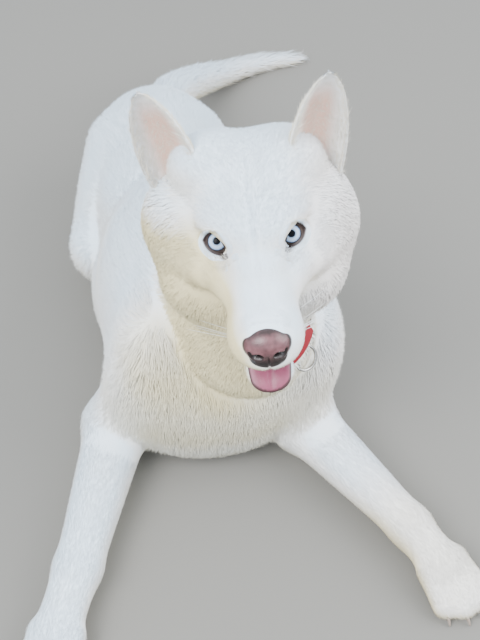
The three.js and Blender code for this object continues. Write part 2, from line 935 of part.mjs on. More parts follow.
// Neck, thick with the ruff that stands out behind the cheeks
const COLLAR_MIDDLE = v(46, -20, 272);
const COLLAR_AXIS = v(0.04, -0.42, 0.9).normalize();
const neckField = blend(
  [
    limb(onHead(0, 54, -36), v(28, 46, 205), 62, 90),
    limb(onHead(0, 18, -58), v(44, -18, 225), 48, 72),
    inHead(ball(v(36, 52, -14), v(43, 38, 44))), // ruff on the left
    inHead(ball(v(46, 50, -52), v(50, 44, 56))),
    inHead(ball(v(38, 23, -86), v(43, 40, 46))),
    inHead(ball(v(-47, 50, -38), v(52, 44, 64))), // ruff on the right
    inHead(ball(v(-46, 24, -86), v(44, 40, 46))),
  ],
  10,
);
const NECK_COAT = 10; // depth of the neck's core under the smooth outline
const neckCore = twins((grow) =>
  solid(
    wrap({
      field: (p) => neckField(p) + NECK_COAT,
      path: [onHead(0, 44, -10), onHead(0, 40, -60), COLLAR_MIDDLE, v(24, 20, 210)],
      rings: 11,
      sides: 20,
      caps: 3,
      reach: 160,
      up: v(0, -1, 0),
      grow,
    }),
  ),
);

// Collar: a band in a groove of the neck's coat, with a tab for the metal ring
const aboutCollar = v(1, 0, 0).cross(COLLAR_AXIS).negate().normalize();
const acrossCollar = COLLAR_AXIS.clone().cross(aboutCollar).normalize();
function collarWay(turn) {
  return acrossCollar
    .clone()
    .multiplyScalar(Math.cos(turn))
    .addScaledVector(aboutCollar, Math.sin(turn));
}
function onNeck(turn, along, depth) {
  const way = collarWay(turn);
  const from = COLLAR_MIDDLE.clone().addScaledVector(COLLAR_AXIS, along);
  return skinPoint(neckField, from, way).addScaledVector(way, -depth);
}
// A band round the neck between two depths under its skin
function collarBand(outer, inner, width, sides) {
  const rows = [];
  for (let i = 0; i < sides; i++) {
    const turn = (2 * Math.PI * i) / sides;
    const middle = onNeck(turn, 0, 0);
    const way = collarWay(turn);
    rows.push(
      [
        [outer, 1],
        [inner, 1],
        [inner, -1],
        [outer, -1],
      ].map(([depth, edge]) =>
        middle
          .clone()
          .addScaledVector(way, -depth)
          .addScaledVector(COLLAR_AXIS, (edge * width) / 2),
      ),
    );
  }
  const points = rows.flat();
  const index = [];
  for (let i = 0; i < sides; i++)
    for (let j = 0; j < 4; j++) {
      const a = i * 4 + j;
      const b = i * 4 + ((j + 1) % 4);
      const c = ((i + 1) % sides) * 4 + j;
      const d = ((i + 1) % sides) * 4 + ((j + 1) % 4);
      index.push(a, b, d, a, d, c);
    }
  const geometry = new THREE.BufferGeometry().setFromPoints(points);
  geometry.setIndex(index);
  return geometry;
}
const COLLAR_DEPTH = NECK_COAT - COLLAR_THICKNESS; // of the band's outer face under the outline
const COLLAR_SIDES = 32;
const collar = solid(
  collarBand(COLLAR_DEPTH, COLLAR_DEPTH + COLLAR_THICKNESS, COLLAR_WIDTH, COLLAR_SIDES),
);
const collarRoom = solid(
  collarBand(
    COLLAR_DEPTH - GAP,
    COLLAR_DEPTH + COLLAR_THICKNESS + GAP,
    COLLAR_WIDTH + 2 * GAP,
    COLLAR_SIDES,
  ),
);

// The ring hangs through the tab, its lower edge standing off the chest.
const RING_TURN = 3.98; // where the tab sits round the collar

// The ruff hangs down the neck in rows, and leaves the collar bare beside the ring.
const RUFF_ROWS = [132, 96, 58, 20, -18, -58]; // heights of the roots over the collar's middle
const RUFF_COUNT = 9;
const RUFF_RISE = 9;
const BEHIND_HEAD = 80; // rows higher than this only go round the back and the sides
const BARE_TURN = 0.5;
const ruff = [];
RUFF_ROWS.forEach((along, row) => {
  for (let i = 0; i < RUFF_COUNT; i++) {
    const turn = (2 * Math.PI * (i + (row % 2) * 0.5)) / RUFF_COUNT;
    const atRing = Math.abs(turn - RING_TURN) < BARE_TURN && Math.abs(along) < 50;
    const atFace = along > BEHIND_HEAD && Math.sin(turn) < -0.5;
    if (atRing || atFace) continue;
    ruff.push(
      lock({
        field: neckField,
        root: onNeck(turn, along, 0),
        lie: COLLAR_AXIS.clone().negate(),
        length: 62,
        width: 54,
        depth: 10,
        core: NECK_COAT,
        rise: RUFF_RISE,
      }),
    );
  }
});
const neck = coated(neckCore, ruff);
const TAB_RADIUS = 5;
const TAB_WIRE = 1.5;
const TAB_HANG = 2.5; // of the tab's middle below the band's edge
const ringOut = collarWay(RING_TURN);
const ringSide = COLLAR_AXIS.clone().cross(ringOut).normalize();
const tabMiddle = onNeck(RING_TURN, 0, COLLAR_DEPTH + COLLAR_THICKNESS / 2)
  .addScaledVector(COLLAR_AXIS, -COLLAR_WIDTH / 2 - TAB_HANG);
const tab = solid(
  new THREE.TorusGeometry(TAB_RADIUS, TAB_WIRE, 6, 14).applyMatrix4(
    new THREE.Matrix4()
      .makeBasis(ringOut, COLLAR_AXIS, ringSide.clone().negate())
      .setPosition(tabMiddle),
  ),
);
const tabRoom = solid(
  new THREE.SphereGeometry(TAB_RADIUS + TAB_WIRE + 2, 10, 8).translate(
    ...tabMiddle.toArray(),
  ),
);
const ringDrop = ringOut.clone().multiplyScalar(0.8).addScaledVector(COLLAR_AXIS, -0.6);
const ringMiddle = tabMiddle.clone().addScaledVector(ringDrop, RING_RADIUS);
const ringFrame = new THREE.Matrix4()
  .makeBasis(ringDrop, ringSide, ringDrop.clone().cross(ringSide))
  .setPosition(ringMiddle);
const ring = solid(
  new THREE.TorusGeometry(RING_RADIUS, RING_WIRE, 6, 24).applyMatrix4(ringFrame),
);
// The coat is pressed in behind the ring, so that its hole stays open.
const RING_HOLLOW = 6;
const RING_ROOM = { radius: RING_RADIUS + 3, length: 40, sides: 20 };
const ringRoom = solid(
  new THREE.CylinderGeometry(
    RING_ROOM.radius,
    RING_ROOM.radius,
    RING_ROOM.length,
    RING_ROOM.sides,
  )
    .rotateX(Math.PI / 2)
    .translate(0, 0, RING_ROOM.length / 2 - RING_HOLLOW)
    .applyMatrix4(ringFrame),
);
addNode("collar_ring", ring, 0xa8a8a4, 0.25, 1);
addNode("collar", joined(collar, tab), 0xc8202f, 0.7);
addNode(
  "neck",
  neck.body
    .subtract(trunkCore.room)
    .subtract(head.room)
    .subtract(jaw.room)
    .subtract(joined(collarRoom, tabRoom, ringRoom)),
  COAT,
);
addNode("trunk", trunk.body.subtract(neck.room).subtract(underFloor), COAT);
addNode("head", head.body, COAT);
for (const [name, side] of Object.entries(SIDES))
  addNode(
    "ear_" + name,
    earShape(side, 0, false)
      .subtract(earShape(side, 0, true))
      .subtract(head.room)
      .subtract(neck.room),
    COAT,
  );

// The origin is on the floor, under the middle of the whole dog.
const span = new THREE.Box3().setFromObject(dog);
dog.position.set(-(span.min.x + span.max.x) / 2, -(span.min.y + span.max.y) / 2, 0);

export default dog;
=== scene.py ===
# A white siberian husky lying on its chest, front legs spread and head up, in soft studio light.
import json
import math
import bmesh
import bpy
import numpy as np
import openvdb
from mathutils import Euler, Matrix, Vector
from mathutils.kdtree import KDTree

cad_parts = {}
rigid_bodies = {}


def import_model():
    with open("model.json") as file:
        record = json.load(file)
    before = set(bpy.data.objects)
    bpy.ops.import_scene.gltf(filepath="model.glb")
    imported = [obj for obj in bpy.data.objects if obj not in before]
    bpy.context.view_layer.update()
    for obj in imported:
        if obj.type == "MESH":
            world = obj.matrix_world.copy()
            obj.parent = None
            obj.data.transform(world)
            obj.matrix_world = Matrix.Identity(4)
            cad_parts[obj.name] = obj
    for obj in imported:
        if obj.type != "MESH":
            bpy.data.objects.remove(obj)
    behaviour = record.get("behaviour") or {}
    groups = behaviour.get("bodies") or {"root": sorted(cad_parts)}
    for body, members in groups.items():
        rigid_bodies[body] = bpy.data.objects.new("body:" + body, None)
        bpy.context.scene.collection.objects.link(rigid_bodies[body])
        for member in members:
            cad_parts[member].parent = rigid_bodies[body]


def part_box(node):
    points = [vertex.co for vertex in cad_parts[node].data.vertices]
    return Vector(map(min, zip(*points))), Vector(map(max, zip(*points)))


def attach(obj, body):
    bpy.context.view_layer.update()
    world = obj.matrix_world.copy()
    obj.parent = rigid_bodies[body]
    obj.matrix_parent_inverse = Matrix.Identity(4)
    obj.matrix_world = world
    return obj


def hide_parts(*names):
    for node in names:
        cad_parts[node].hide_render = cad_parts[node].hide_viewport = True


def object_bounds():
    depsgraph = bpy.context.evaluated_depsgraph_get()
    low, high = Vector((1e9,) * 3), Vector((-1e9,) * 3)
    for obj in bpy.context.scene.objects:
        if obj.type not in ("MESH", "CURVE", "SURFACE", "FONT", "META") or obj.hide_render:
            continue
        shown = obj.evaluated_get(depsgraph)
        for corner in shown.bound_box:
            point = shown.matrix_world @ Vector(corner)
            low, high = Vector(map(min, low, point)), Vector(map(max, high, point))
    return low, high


for thing in list(bpy.data.objects):
    bpy.data.objects.remove(thing)
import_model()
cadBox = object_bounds()
chance = np.random.default_rng(7)
mm = 0.001
print("frame loaded")

# Frames. The dog is drawn in millimetres about its own origin; the head has a frame between the pupils.
head = {
    "place": (36, -76, 430),
    "turn": (0.141, -0.105, -0.052),
    "scale": 1.07,
    "eye": (30, 5, -9),  # middle of the left eyeball
    "eyeAxis": (0.2, -0.68, 0.7),
    "eyeRadius": 11,
}
headTurn = np.array(Euler(head["turn"], "ZXY").to_matrix())
sides = {"right": -1, "left": 1}


def vec(*values):
    return np.array(values, float)


def unit(way):
    way = np.asarray(way, float)
    return way / np.maximum(np.linalg.norm(way, axis=-1, keepdims=True), 1e-9)


def mix(a, b, t):
    return a + (b - a) * t


def smooth(x, low, high):
    t = np.clip((x - low) / (high - low), 0, 1)
    return t * t * (3 - 2 * t)


def onHead(p):
    return vec(*head["place"]) + head["scale"] * (np.asarray(p, float) @ headTurn.T)


def toHead(p):
    return ((p - vec(*head["place"])) @ headTurn) / head["scale"]


def middleOf(*nodes):
    return np.mean([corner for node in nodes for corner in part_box(node)], axis=0) / mm


shift = middleOf("eye_left", "eye_right") - onHead((0, *head["eye"][1:]))


def toScene(p):
    return (p + shift) * mm


# Soft forms, each a function that gives the distance from points to its skin, negative inside
def ball(centre, radii, turn=(0, 0, 0)):
    centre, radii = vec(*centre), vec(*radii)
    own = np.array(Euler(turn, "ZYX").to_matrix())

    def distance(p):
        q = ((p - centre) @ own) / radii
        near = np.linalg.norm(q, axis=1)
        slope = np.linalg.norm(q / radii, axis=1)
        return near * (near - 1) / np.maximum(slope, 1e-9)

    return distance


def limb(start, end, startRadius, endRadius):
    start, along = vec(*start), vec(*end) - vec(*start)

    def distance(p):
        q = p - start
        t = np.clip(q @ along / (along @ along), 0, 1)
        return np.linalg.norm(q - t[:, None] * along, axis=1) - mix(startRadius, endRadius, t)

    return distance


def blend(forms, softness):
    def distance(p):
        values = np.array([form(p) for form in forms])
        least = values.min(0)
        return least - softness * np.log(np.exp((least - values) / softness).sum(0))

    return distance


def trimmed(form, cut, softness):
    return lambda p: -blend([lambda q: -form(q), lambda q: -cut(q)], softness)(p)


def inHead(form):
    return lambda p: form(toHead(p)) * head["scale"]


def both(make):
    return [made for side in sides.values() for made in make(side)]


# The body's forms
trunk = {
    "withersTop": 300,
    "rumpTop": 220,
    "chestHalfWidth": 130,
    "rumpHalfWidth": 84,
    "skin": 5,  # depth of the skin under the coat's smooth outline
}


def spineX(y):
    return mix(14, -31, smooth(y, 20, 400))


def onSpine(x, y, z):
    return vec(spineX(y) + x, y, z)


trunkField = blend(
    [
        ball(onSpine(0, 120, 148), (trunk["chestHalfWidth"], 165, 148)),
        ball((2, -6, 114), (122, 55, 106)),
        ball((-62, 24, 150), (46, 70, 100), (0.25, 0, 0)),
        ball((110, 36, 140), (50, 72, 96), (0.25, 0, 0)),
        ball(onSpine(0, 55, trunk["withersTop"] - 42), (50, 88, 42)),
        ball(onSpine(0, 290, 136), (98, 140, 94)),
        ball(onSpine(0, 195, 78), (128, 150, 78)),
        ball(onSpine(0, 398, trunk["rumpTop"] - 82), (trunk["rumpHalfWidth"], 86, 82)),
        ball(onSpine(0, 452, 112), (62, 46, 60)),
    ],
    14,
)

forelegs = {
    "right": {
        "path": [(-70, 6, 122), (-112, 4, 48), (-165, -168, 32), (-189, -234, 26), (-207, -298, 14)],
        "radii": (39, 27, 26),
    },
    "left": {
        "path": [(92, 6, 120), (110, -12, 42), (208, -162, 31), (233, -208, 26), (258, -262, 14)],
        "radii": (38, 25, 25),
    },
}
paw = {"toeRadius": 14, "bite": 1.5, "claw": 11, "clawRadius": 2.6}


def toesOf(knuckle, toe, radius):
    way = vec(*toe) - vec(*knuckle)
    out = unit(vec(-way[1], way[0], 0))
    toes = []
    for i in range(4):
        across = (i - 1.5) * radius * 1.16
        inner = i in (1, 2)
        start = vec(*knuckle) + out * across * 0.7 + way * (0.2 if inner else 0.05)
        end = vec(*knuckle) + out * across + way * (0.82 if inner else 0.64)
        end[2] = radius - paw["bite"]
        toes.append((start, end))
    return toes


def pawForms(toes, radius):
    return [limb(start, end, radius * 1.05, radius) for start, end in toes]


toes = {}
forelegFields = {}
for name, leg in forelegs.items():
    shoulder, elbow, wrist, knuckle, toe = leg["path"]
    atElbow, atWrist, atKnuckle = leg["radii"]
    toes["front_" + name] = toesOf(knuckle, toe, paw["toeRadius"])
    forelegFields[name] = blend(
        [
            limb(shoulder, elbow, 46, atElbow + 4),
            limb(elbow, wrist, atElbow, atWrist),
            limb(wrist, knuckle, atWrist, atKnuckle),
            *pawForms(toes["front_" + name], paw["toeRadius"]),
        ],
        5,
    )

hindlegs = {"radii": (44, 25, 22), "paths": {}}
hindlegFields = {}
for name, side in sides.items():
    atKnee, atHock, atHeel = hindlegs["radii"]
    hip = onSpine(side * 40, 395, 140)
    knee = onSpine(side * 92, 268, 84)
    hock = onSpine(side * 80, 430, 38)
    heel = onSpine(side * 82, 360, 28)
    knuckle = onSpine(side * 88, 275, 24)
    toe = onSpine(side * 90, 222, 14)
    radius = paw["toeRadius"] - 1
    toes["hind_" + name] = toesOf(knuckle, toe, radius)
    hindlegs["paths"][name] = [hip, knee, hock, heel, knuckle, toe]
    thigh = blend(
        [
            ball(onSpine(side * 50, 350, 118), (54, 104, 74), (0.3, 0, side * 0.3)),
            limb(hip, knee, 56, atKnee),
            limb(knee, hock, 40, atHock),
        ],
        8,
    )
    foot = blend(
        [
            limb(hock, heel, atHock, atHeel),
            limb(heel, knuckle, atHeel, atHeel),
            *pawForms(toes["hind_" + name], radius),
        ],
        5,
    )
    hindlegFields[name] = blend([thigh, foot], 3)

tail = {
    "path": [
        (-25, 470, 118), (-4, 546, 107), (33, 626, 70), (92, 702, 29),
        (153, 741, 15), (205, 755, 9), (233, 760, 6),
    ],
    "radii": (36, 6.5),
    "taper": 1.7,
    "core": 0.62,
    "steps": 48,
}


def curveThrough(points, count):
    points = np.array(points, float)
    ends = np.vstack([2 * points[0] - points[1], points, 2 * points[-1] - points[-2]])
    fine = []
    for i in range(len(points) - 1):
        a, b, c, d = ends[i:i + 4]
        for t in np.linspace(0, 1, 40, endpoint=False):
            fine.append(
                0.5 * (2 * b + (c - a) * t + (2 * a - 5 * b + 4 * c - d) * t ** 2
                       + (3 * b - a - 3 * c + d) * t ** 3)
            )
    fine = np.array([*fine, points[-1]])
    length = np.concatenate([[0], np.cumsum(np.linalg.norm(np.diff(fine, axis=0), axis=1))])
    at = np.linspace(0, length[-1], count)
    return np.stack([np.interp(at, length, fine[:, k]) for k in range(3)], 1)


def tailRadius(t):
    return mix(*tail["radii"], t ** tail["taper"]) * (1 - 6 * np.maximum(t - 0.93, 0))


tailCurve = curveThrough(tail["path"], tail["steps"] + 1)
tailParts = np.linspace(0, 1, tail["steps"] + 1)


def tailForm(part):
    radii = tailRadius(tailParts) * part
    return blend(
        [limb(tailCurve[i], tailCurve[i + 1], radii[i], radii[i + 1]) for i in range(0, tail["steps"])],
        1,
    )


tailField = tailForm(1)

# The head's forms, in its own frame
headField = inHead(blend(
    [
        ball((0, 47, 4), (55, 54, 44)),  # brain case
        ball((0, 11, 6), (35, 32, 24)),  # forehead
        ball((0, -12, -8), (20, 26, 15)),  # stop
        *both(lambda side: [
            ball((side * 26, 11, 10), (17, 13, 10)),  # brow
            ball((side * 36, 36, -30), (34, 42, 37)),  # cheek
            ball((side * 24, -4, -34), (21, 30, 22)),  # under the eye
            ball((side * 37, 20, -42), (33, 34, 24)),  # jowl
            ball((side * 15.5, -65, -45), (15, 21, 15)),  # lips beside the nose
        ]),
        ball((28, 58, 22), (38, 32, 30)),  # crown between the ears
        ball((-28, 58, 26), (38, 32, 30)),
        limb((0, -4, -22), (0, -69, -34), 27, 18),  # bridge of the muzzle
        limb((0, -8, -40), (0, -60, -45), 34, 25),  # upper lips
        ball((0, -77, -51.5), (23, 18, 10.5)),  # lip under the nose
        ball((0, 40, -44), (46, 44, 34)),  # throat
    ],
    5,
))
mouth = {"corner": (-14, -58), "upperLip": (-110, -60), "lowerLip": (-110, -99), "turn": 0.41}
jawField = inHead(blend(
    [
        limb((0, 26, -62), (0, -60, -92), 29, 17),
        ball((0, -73, -95), (21, 18, 10), (mouth["turn"], 0, 0)),
    ],
    3,
))
noseField = inHead(blend(
    [
        ball((0, -81, -32), (17.5, 13.5, 13.5)),
        ball((0, -86, -44), (16, 11, 10)),
        *both(lambda side: [ball((side * 11.3, -81, -34), (8, 9, 9))]),
    ],
    2,
))
neckField = blend(
    [
        limb(onHead((0, 54, -36)), (28, 46, 205), 62, 90),
        limb(onHead((0, 18, -58)), (44, -18, 225), 48, 72),
        inHead(ball((36, 52, -14), (43, 38, 44))),  # ruff on the left
        inHead(ball((46, 50, -52), (50, 44, 56))),
        inHead(ball((38, 23, -86), (43, 40, 46))),
        inHead(ball((-47, 50, -38), (52, 44, 64))),  # ruff on the right
        inHead(ball((-46, 24, -86), (44, 40, 46))),
    ],
    10,
)


# Each part's form, looked at only near the solid that it dresses
def nearNodes(form, *nodes):
    margin = 42  # how far from the solid's box the form is still looked at
    corners = np.array([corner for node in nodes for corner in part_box(node)]) / mm - shift
    low, high = corners.min(0), corners.max(0)

    def distance(p):
        away = np.linalg.norm(np.maximum(np.maximum(low - p, p - high), 0), axis=1)
        close = away < margin
        away[close] = form(p[close])
        return away

    return distance


def slopeOf(field, p, step=0.4):
    at = field(p)
    return np.stack([(field(p + step * axis) - at) / step for axis in np.eye(3)], 1), at


outlines = {
    "trunk": nearNodes(trunkField, "trunk"),
    "neck": nearNodes(neckField, "neck", "head"),
    "head": nearNodes(headField, "head"),
    "jaw": nearNodes(jawField, "jaw"),
    "tail": nearNodes(tailField, "tail_root", "tail_end"),
}
for name in sides:
    outlines["foreleg_" + name] = nearNodes(forelegFields[name], "foreleg_" + name)
    outlines["hindleg_" + name] = nearNodes(hindlegFields[name], "hindleg_" + name)
regions = list(outlines)

eyes = {
    "lid": 1.9,  # thickness of a lid over the eyeball
    "dent": (15, 12, 5),  # the skin is pressed in round an eye, under the lids' own mesh
    # inner corner, top, outer corner and under side of the opening, as across and up
    "outline": ((-10.7, -8.6), (2.3, 18.5), (10.4, 1), (3.3, -9.9)),
}


# An eye's middle and its ways across, up and out, in the head's frame
def eyeFrame(side):
    out = unit(vec(side, 1, 1) * head["eyeAxis"])
    across = unit(np.cross((0, 0, 1), out))
    return vec(side, 1, 1) * head["eye"], across, np.cross(out, across), out


def eyeDent(q):
    wide, tall, deep = eyes["dent"]
    dent = np.zeros(len(q))
    for side in sides.values():
        middle, across, up, out = eyeFrame(side)
        r = np.hypot((q - middle) @ across / wide, (q - middle) @ up / tall)
        dent += deep * smooth(1.15 - r, 0, 0.4) * smooth((q - middle) @ out, -6, 0)
    return dent


# Height over the edge of a lip, in the head's frame
def overLip(q, lip):
    (cornerY, cornerZ), (lipY, lipZ) = mouth["corner"], mouth[lip]
    return q[:, 2] - mix(cornerZ, lipZ, (q[:, 1] - cornerY) / (lipY - cornerY))


def underUpperLip(p):
    q = toHead(p)
    return np.minimum(-overLip(q, "upperLip"), mouth["corner"][0] - q[:, 1]) * head["scale"]


def aboveJaw(p):
    q = toHead(p)
    return np.minimum(overLip(q, "lowerLip"), mouth["corner"][0] - q[:, 1]) * head["scale"]


# Depth of the bare skin under the head's coat at its front and back
faceDepth = (0.9, 3.6)
# Depth and width of the head's small forms
relief = {"furrow": (2.8, 3.6), "lipGroove": (1.4, 1.6), "arch": (1.9, 8), "besideArch": (-1.6, 4.5)}


def bump(x, wide):
    return np.exp(-(x / wide) ** 2)


def reliefOf(x, form):
    deep, wide = relief[form]
    return deep * bump(x, wide)


def faceSkin(p):
    return headField(p) + mix(*faceDepth, smooth(toHead(p)[:, 1], -30, 40))


# The head's skin, with a furrow on the forehead, a groove in the upper lip and an arch over the nose
def headSkin(p):
    q = toHead(p)
    across, y, z = q.T
    furrow = reliefOf(across, "furrow") * smooth(y, -34, -8) * smooth(-y, -52, -20)
    lip = reliefOf(across, "lipGroove") * smooth(-y, 66, 78) * smooth(-z, 36, 44)
    overNose = smooth(-y, 60, 72) * smooth(z, -40, -28)
    arch = overNose * (reliefOf(across, "arch") + reliefOf(np.abs(across) - 14, "besideArch"))
    return faceSkin(p) + furrow + lip + arch + eyeDent(q)


# The collar's place; the skin falls back above it where it shows
collar = {
    "middle": (46, -20, 272),
    "axis": unit((0.04, -0.42, 0.9)),
    "width": 20,
    "thickness": 3,
    "depth": 8,  # of its outer face under the coat's outline
    "deeper": 3,  # in the coat that hides it
    "bare": (3.62, 4.22),  # where the coat is parted over it, as turns round the neck in radians
    "bareEnd": 0.12,  # over which the parting ends on either side
    "bareTilt": 0.75,  # it leans outwards there
    "bareHollow": 9,  # and the skin above it falls back
    "ringTurn": 3.98,
    "skin": 6,  # depth of the neck's skin under the coat's outline
}
collarOut = unit(-np.cross((1, 0, 0), collar["axis"]))
collarAcross = unit(np.cross(collar["axis"], collarOut))


# Places round the neck: how far above the collar's middle, the turn, and how much the band shows there
def roundNeck(p):
    place = p - collar["middle"]
    turn = np.arctan2(place @ collarOut, place @ collarAcross) % (2 * math.pi)
    return place @ collar["axis"], turn, shownAt(turn)


def shownAt(turn):
    first, last = collar["bare"]
    return smooth(turn, first - collar["bareEnd"], first) * smooth(-turn, -last - collar["bareEnd"], -last)


def neckSkin(p):
    above, _, shown = roundNeck(p)
    hollow = smooth(above, -12, 2) * smooth(-above, -34, -14)
    return outlines["neck"](p) + collar["skin"] + collar["bareHollow"] * hollow * shown


# One skin for all the flesh: a level set of the forms, with finer faces in the face
skin = {
    "legDepth": 2.2,  # under the coat's outline
    "overFloor": 1.2,
    "lipEdge": 1.4,  # how round the lips' edges are
    "step": 4.5,
    "coarse": 5,
    "margin": 12,
    "face": ((-70, -1000, -125), (70, 30, 60)),  # box of the finer faces, in the head's frame
    "faceCuts": 2,
    "rounds": 3,
}
skinForms = [
    lambda p: outlines["trunk"](p) + trunk["skin"] * smooth(p[:, 2], 15, 90),
    neckSkin,
    nearNodes(trimmed(headSkin, underUpperLip, skin["lipEdge"]), "head"),
    nearNodes(trimmed(lambda p: jawField(p) + faceDepth[0], aboveJaw, skin["lipEdge"]), "jaw"),
    nearNodes(tailForm(tail["core"]), "tail_root", "tail_end"),
]
for name in sides:
    for leg in ("foreleg_", "hindleg_"):
        skinForms.append(lambda p, name=leg + name: outlines[name](p) + skin["legDepth"])
skinBlend = blend(skinForms, 4)


def skinField(p):
    return np.maximum(skinBlend(p), skin["overFloor"] - p[:, 2])


# Values of a field on a grid, fine only near its zero, turned into a mesh
def levelSet(field, step, coarse):
    wide = step * coarse
    low, high = [vec(*corner) / mm - shift for corner in cadBox]
    low = low - skin["margin"]
    counts = np.ceil((high + skin["margin"] - low) / wide).astype(int)
    cells = np.stack(np.meshgrid(*[np.arange(n) for n in counts], indexing="ij"), -1).reshape(-1, 3)
    middle = field(low + (cells + 0.5) * wide)
    values = np.clip(middle, -wide, wide).reshape(counts)
    for axis in range(3):
        values = np.repeat(values, coarse, axis)
    near = cells[np.abs(middle) < 1.3 * wide]
    inner = np.stack(np.meshgrid(*[np.arange(coarse)] * 3, indexing="ij"), -1).reshape(-1, 3)
    fine = (near[:, None] * coarse + inner).reshape(-1, 3)
    values[tuple(fine.T)] = field(low + (fine + 0.5) * step)
    grid = openvdb.FloatGrid(wide)
    grid.copyFromArray(values)
    points, _, quads = grid.convertToPolygons(0.0, 0.0)
    return low + (points + 0.5) * step, quads


# Points moved onto the zero of a field
def settled(points, field):
    slope, at = slopeOf(field, points)
    return points - slope * (at / np.maximum((slope ** 2).sum(1), 0.2))[:, None]


# Points moved halfway to the middle of their neighbours, and back onto the zero of a field
def relaxed(points, edges, field, rounds):
    count = np.bincount(edges.ravel(), minlength=len(points))[:, None]
    for _ in range(rounds):
        total = np.stack([
            np.bincount(edges[:, 0], points[edges[:, 1], k], len(points))
            + np.bincount(edges[:, 1], points[edges[:, 0], k], len(points))
            for k in range(3)
        ], 1)
        points = settled(mix(points, total / count, 0.5), field)
    return points


def addMesh(name, points, faces):
    mesh = bpy.data.meshes.new(name)
    faces = np.asarray(faces)
    mesh.vertices.add(len(points))
    mesh.vertices.foreach_set("co", toScene(points).astype(np.float32).ravel())
    mesh.loops.add(faces.size)
    mesh.loops.foreach_set("vertex_index", faces.ravel().astype(np.int32))
    mesh.polygons.add(len(faces))
    mesh.polygons.foreach_set("loop_start", np.arange(len(faces), dtype=np.int32) * faces.shape[1])
    mesh.update(calc_edges=True)
    mesh.polygons.foreach_set("use_smooth", np.ones(len(faces), bool))
    thing = bpy.data.objects.new(name, mesh)
    bpy.context.scene.collection.objects.link(thing)
    return thing


# Faces between rows of points, closed round each row
def facesBetween(count, around):
    i, j = np.meshgrid(np.arange(count - 1) * around, np.arange(around), indexing="ij")
    after = (j + 1) % around
    return np.stack([i + j, i + after, i + around + after, i + around + j], -1).reshape(-1, 4)


# A grid of rows of points; rows that shrink to a point close the ends
def addRows(name, rows):
    rows = np.asarray(rows)
    thing = addMesh(name, rows.reshape(-1, 3), facesBetween(*rows.shape[:2]))
    bm = bmesh.new()
    bm.from_mesh(thing.data)
    bmesh.ops.remove_doubles(bm, verts=bm.verts, dist=0.00002)
    bmesh.ops.recalc_face_normals(bm, faces=bm.faces)
    bm.to_mesh(thing.data)
    bm.free()
    return thing


# What a list of a mesh holds, with so many values for each of its items
def read(items, key, width, kind=np.float32):
    values = np.empty(len(items) * width, kind)
    items.foreach_get(key, values)
    return values.reshape(-1, width)


def pointsOf(thing):
    return read(thing.data.vertices, "co", 3).astype(float) / mm - shift


def outsOf(thing):
    return read(thing.data.vertex_normals, "vector", 3).astype(float)


def unwrap(thing):
    bpy.context.view_layer.objects.active = thing
    thing.select_set(True)
    bpy.ops.object.mode_set(mode="EDIT")
    bpy.ops.mesh.select_all(action="SELECT")
    bpy.ops.uv.smart_project(angle_limit=math.radians(66), island_margin=0.002)
    bpy.ops.object.mode_set(mode="OBJECT")
    thing.select_set(False)
    thing.data.uv_layers.active.name = "OFBake"


# Markings as red, green, blue and alpha
def shadeOf(red, green=0, blue=0, alpha=1):
    return np.stack(np.broadcast_arrays(red, green, blue, alpha), 1)


def paint(thing, shade):
    layer = thing.data.attributes.new("markings", "FLOAT_COLOR", "POINT")
    layer.data.foreach_set("color", shade.astype(np.float32).ravel())


def makeSkin():
    points, quads = levelSet(skinField, skin["step"], skin["coarse"])
    thing = addMesh("skin", points, quads)
    low, high = skin["face"]
    for _ in range(skin["faceCuts"]):
        bm = bmesh.new()
        bm.from_mesh(thing.data)
        q = toHead(np.array([face.calc_center_median() for face in bm.faces]) / mm - shift)
        inFace = ((q > low) & (q < high)).all(1)
        chosen = {edge for face, isIn in zip(bm.faces, inFace) if isIn for edge in face.edges}
        bmesh.ops.subdivide_edges(bm, edges=list(chosen), cuts=1, use_grid_fill=True)
        bm.to_mesh(thing.data)
        bm.free()
    edges = read(thing.data.edges, "vertices", 2, np.int32)
    points = settled(relaxed(pointsOf(thing), edges, skinField, skin["rounds"]), skinField)
    thing.data.vertices.foreach_set("co", toScene(points).astype(np.float32).ravel())
    thing.data.polygons.foreach_set("use_smooth", np.ones(len(thing.data.polygons), bool))
    thing.data.update()
    unwrap(thing)
    return thing


skinPiece = makeSkin()
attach(skinPiece, "root")
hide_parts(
    "trunk", "neck", "head", "jaw", "foreleg_left", "foreleg_right",
    "hindleg_left", "hindleg_right", "tail_root", "tail_end",
)
print("skin", len(skinPiece.data.vertices))


# The almond outline of an eye's opening
def eyeOutline(side, count):
    inner, top, outer, under = vec(*eyes["outline"])
    t = np.linspace(0, 1, count // 2, endpoint=False)[:, None]
    upper = (1 - t) ** 2 * inner + 2 * t * (1 - t) * top + t ** 2 * outer
    lower = (1 - t) ** 2 * outer + 2 * t * (1 - t) * under + t ** 2 * inner
    return np.vstack([upper, lower]) * (side, 1)


# Where a way meets the skin of a soft form, coming from starts outside it
def reached(field, starts, way):
    p = starts.copy()
    for _ in range(60):
        p = p + way * np.clip(field(p), -1, 3)[:, None] * 0.8
    return p


# Where ways from a middle inside a form leave it, as lengths
def leaving(field, middle, ways, far, rounds):
    low, high = np.zeros(len(ways)), np.full(len(ways), float(far))
    for _ in range(rounds):
        half = (low + high) / 2
        inside = field(middle + ways * half[:, None]) < 0
        low, high = np.where(inside, half, low), np.where(inside, high, half)
    return low


# Ways in the plane of two ways
def roundWays(turns, first, second):
    return np.cos(turns)[:, None] * first + np.sin(turns)[:, None] * second


# Ways that lean away from a first one, all round it
def fanned(lean, turns, first, across, up):
    around = roundWays(turns, across, up)
    return np.cos(lean)[:, None, None] * first + np.sin(lean)[:, None, None] * around


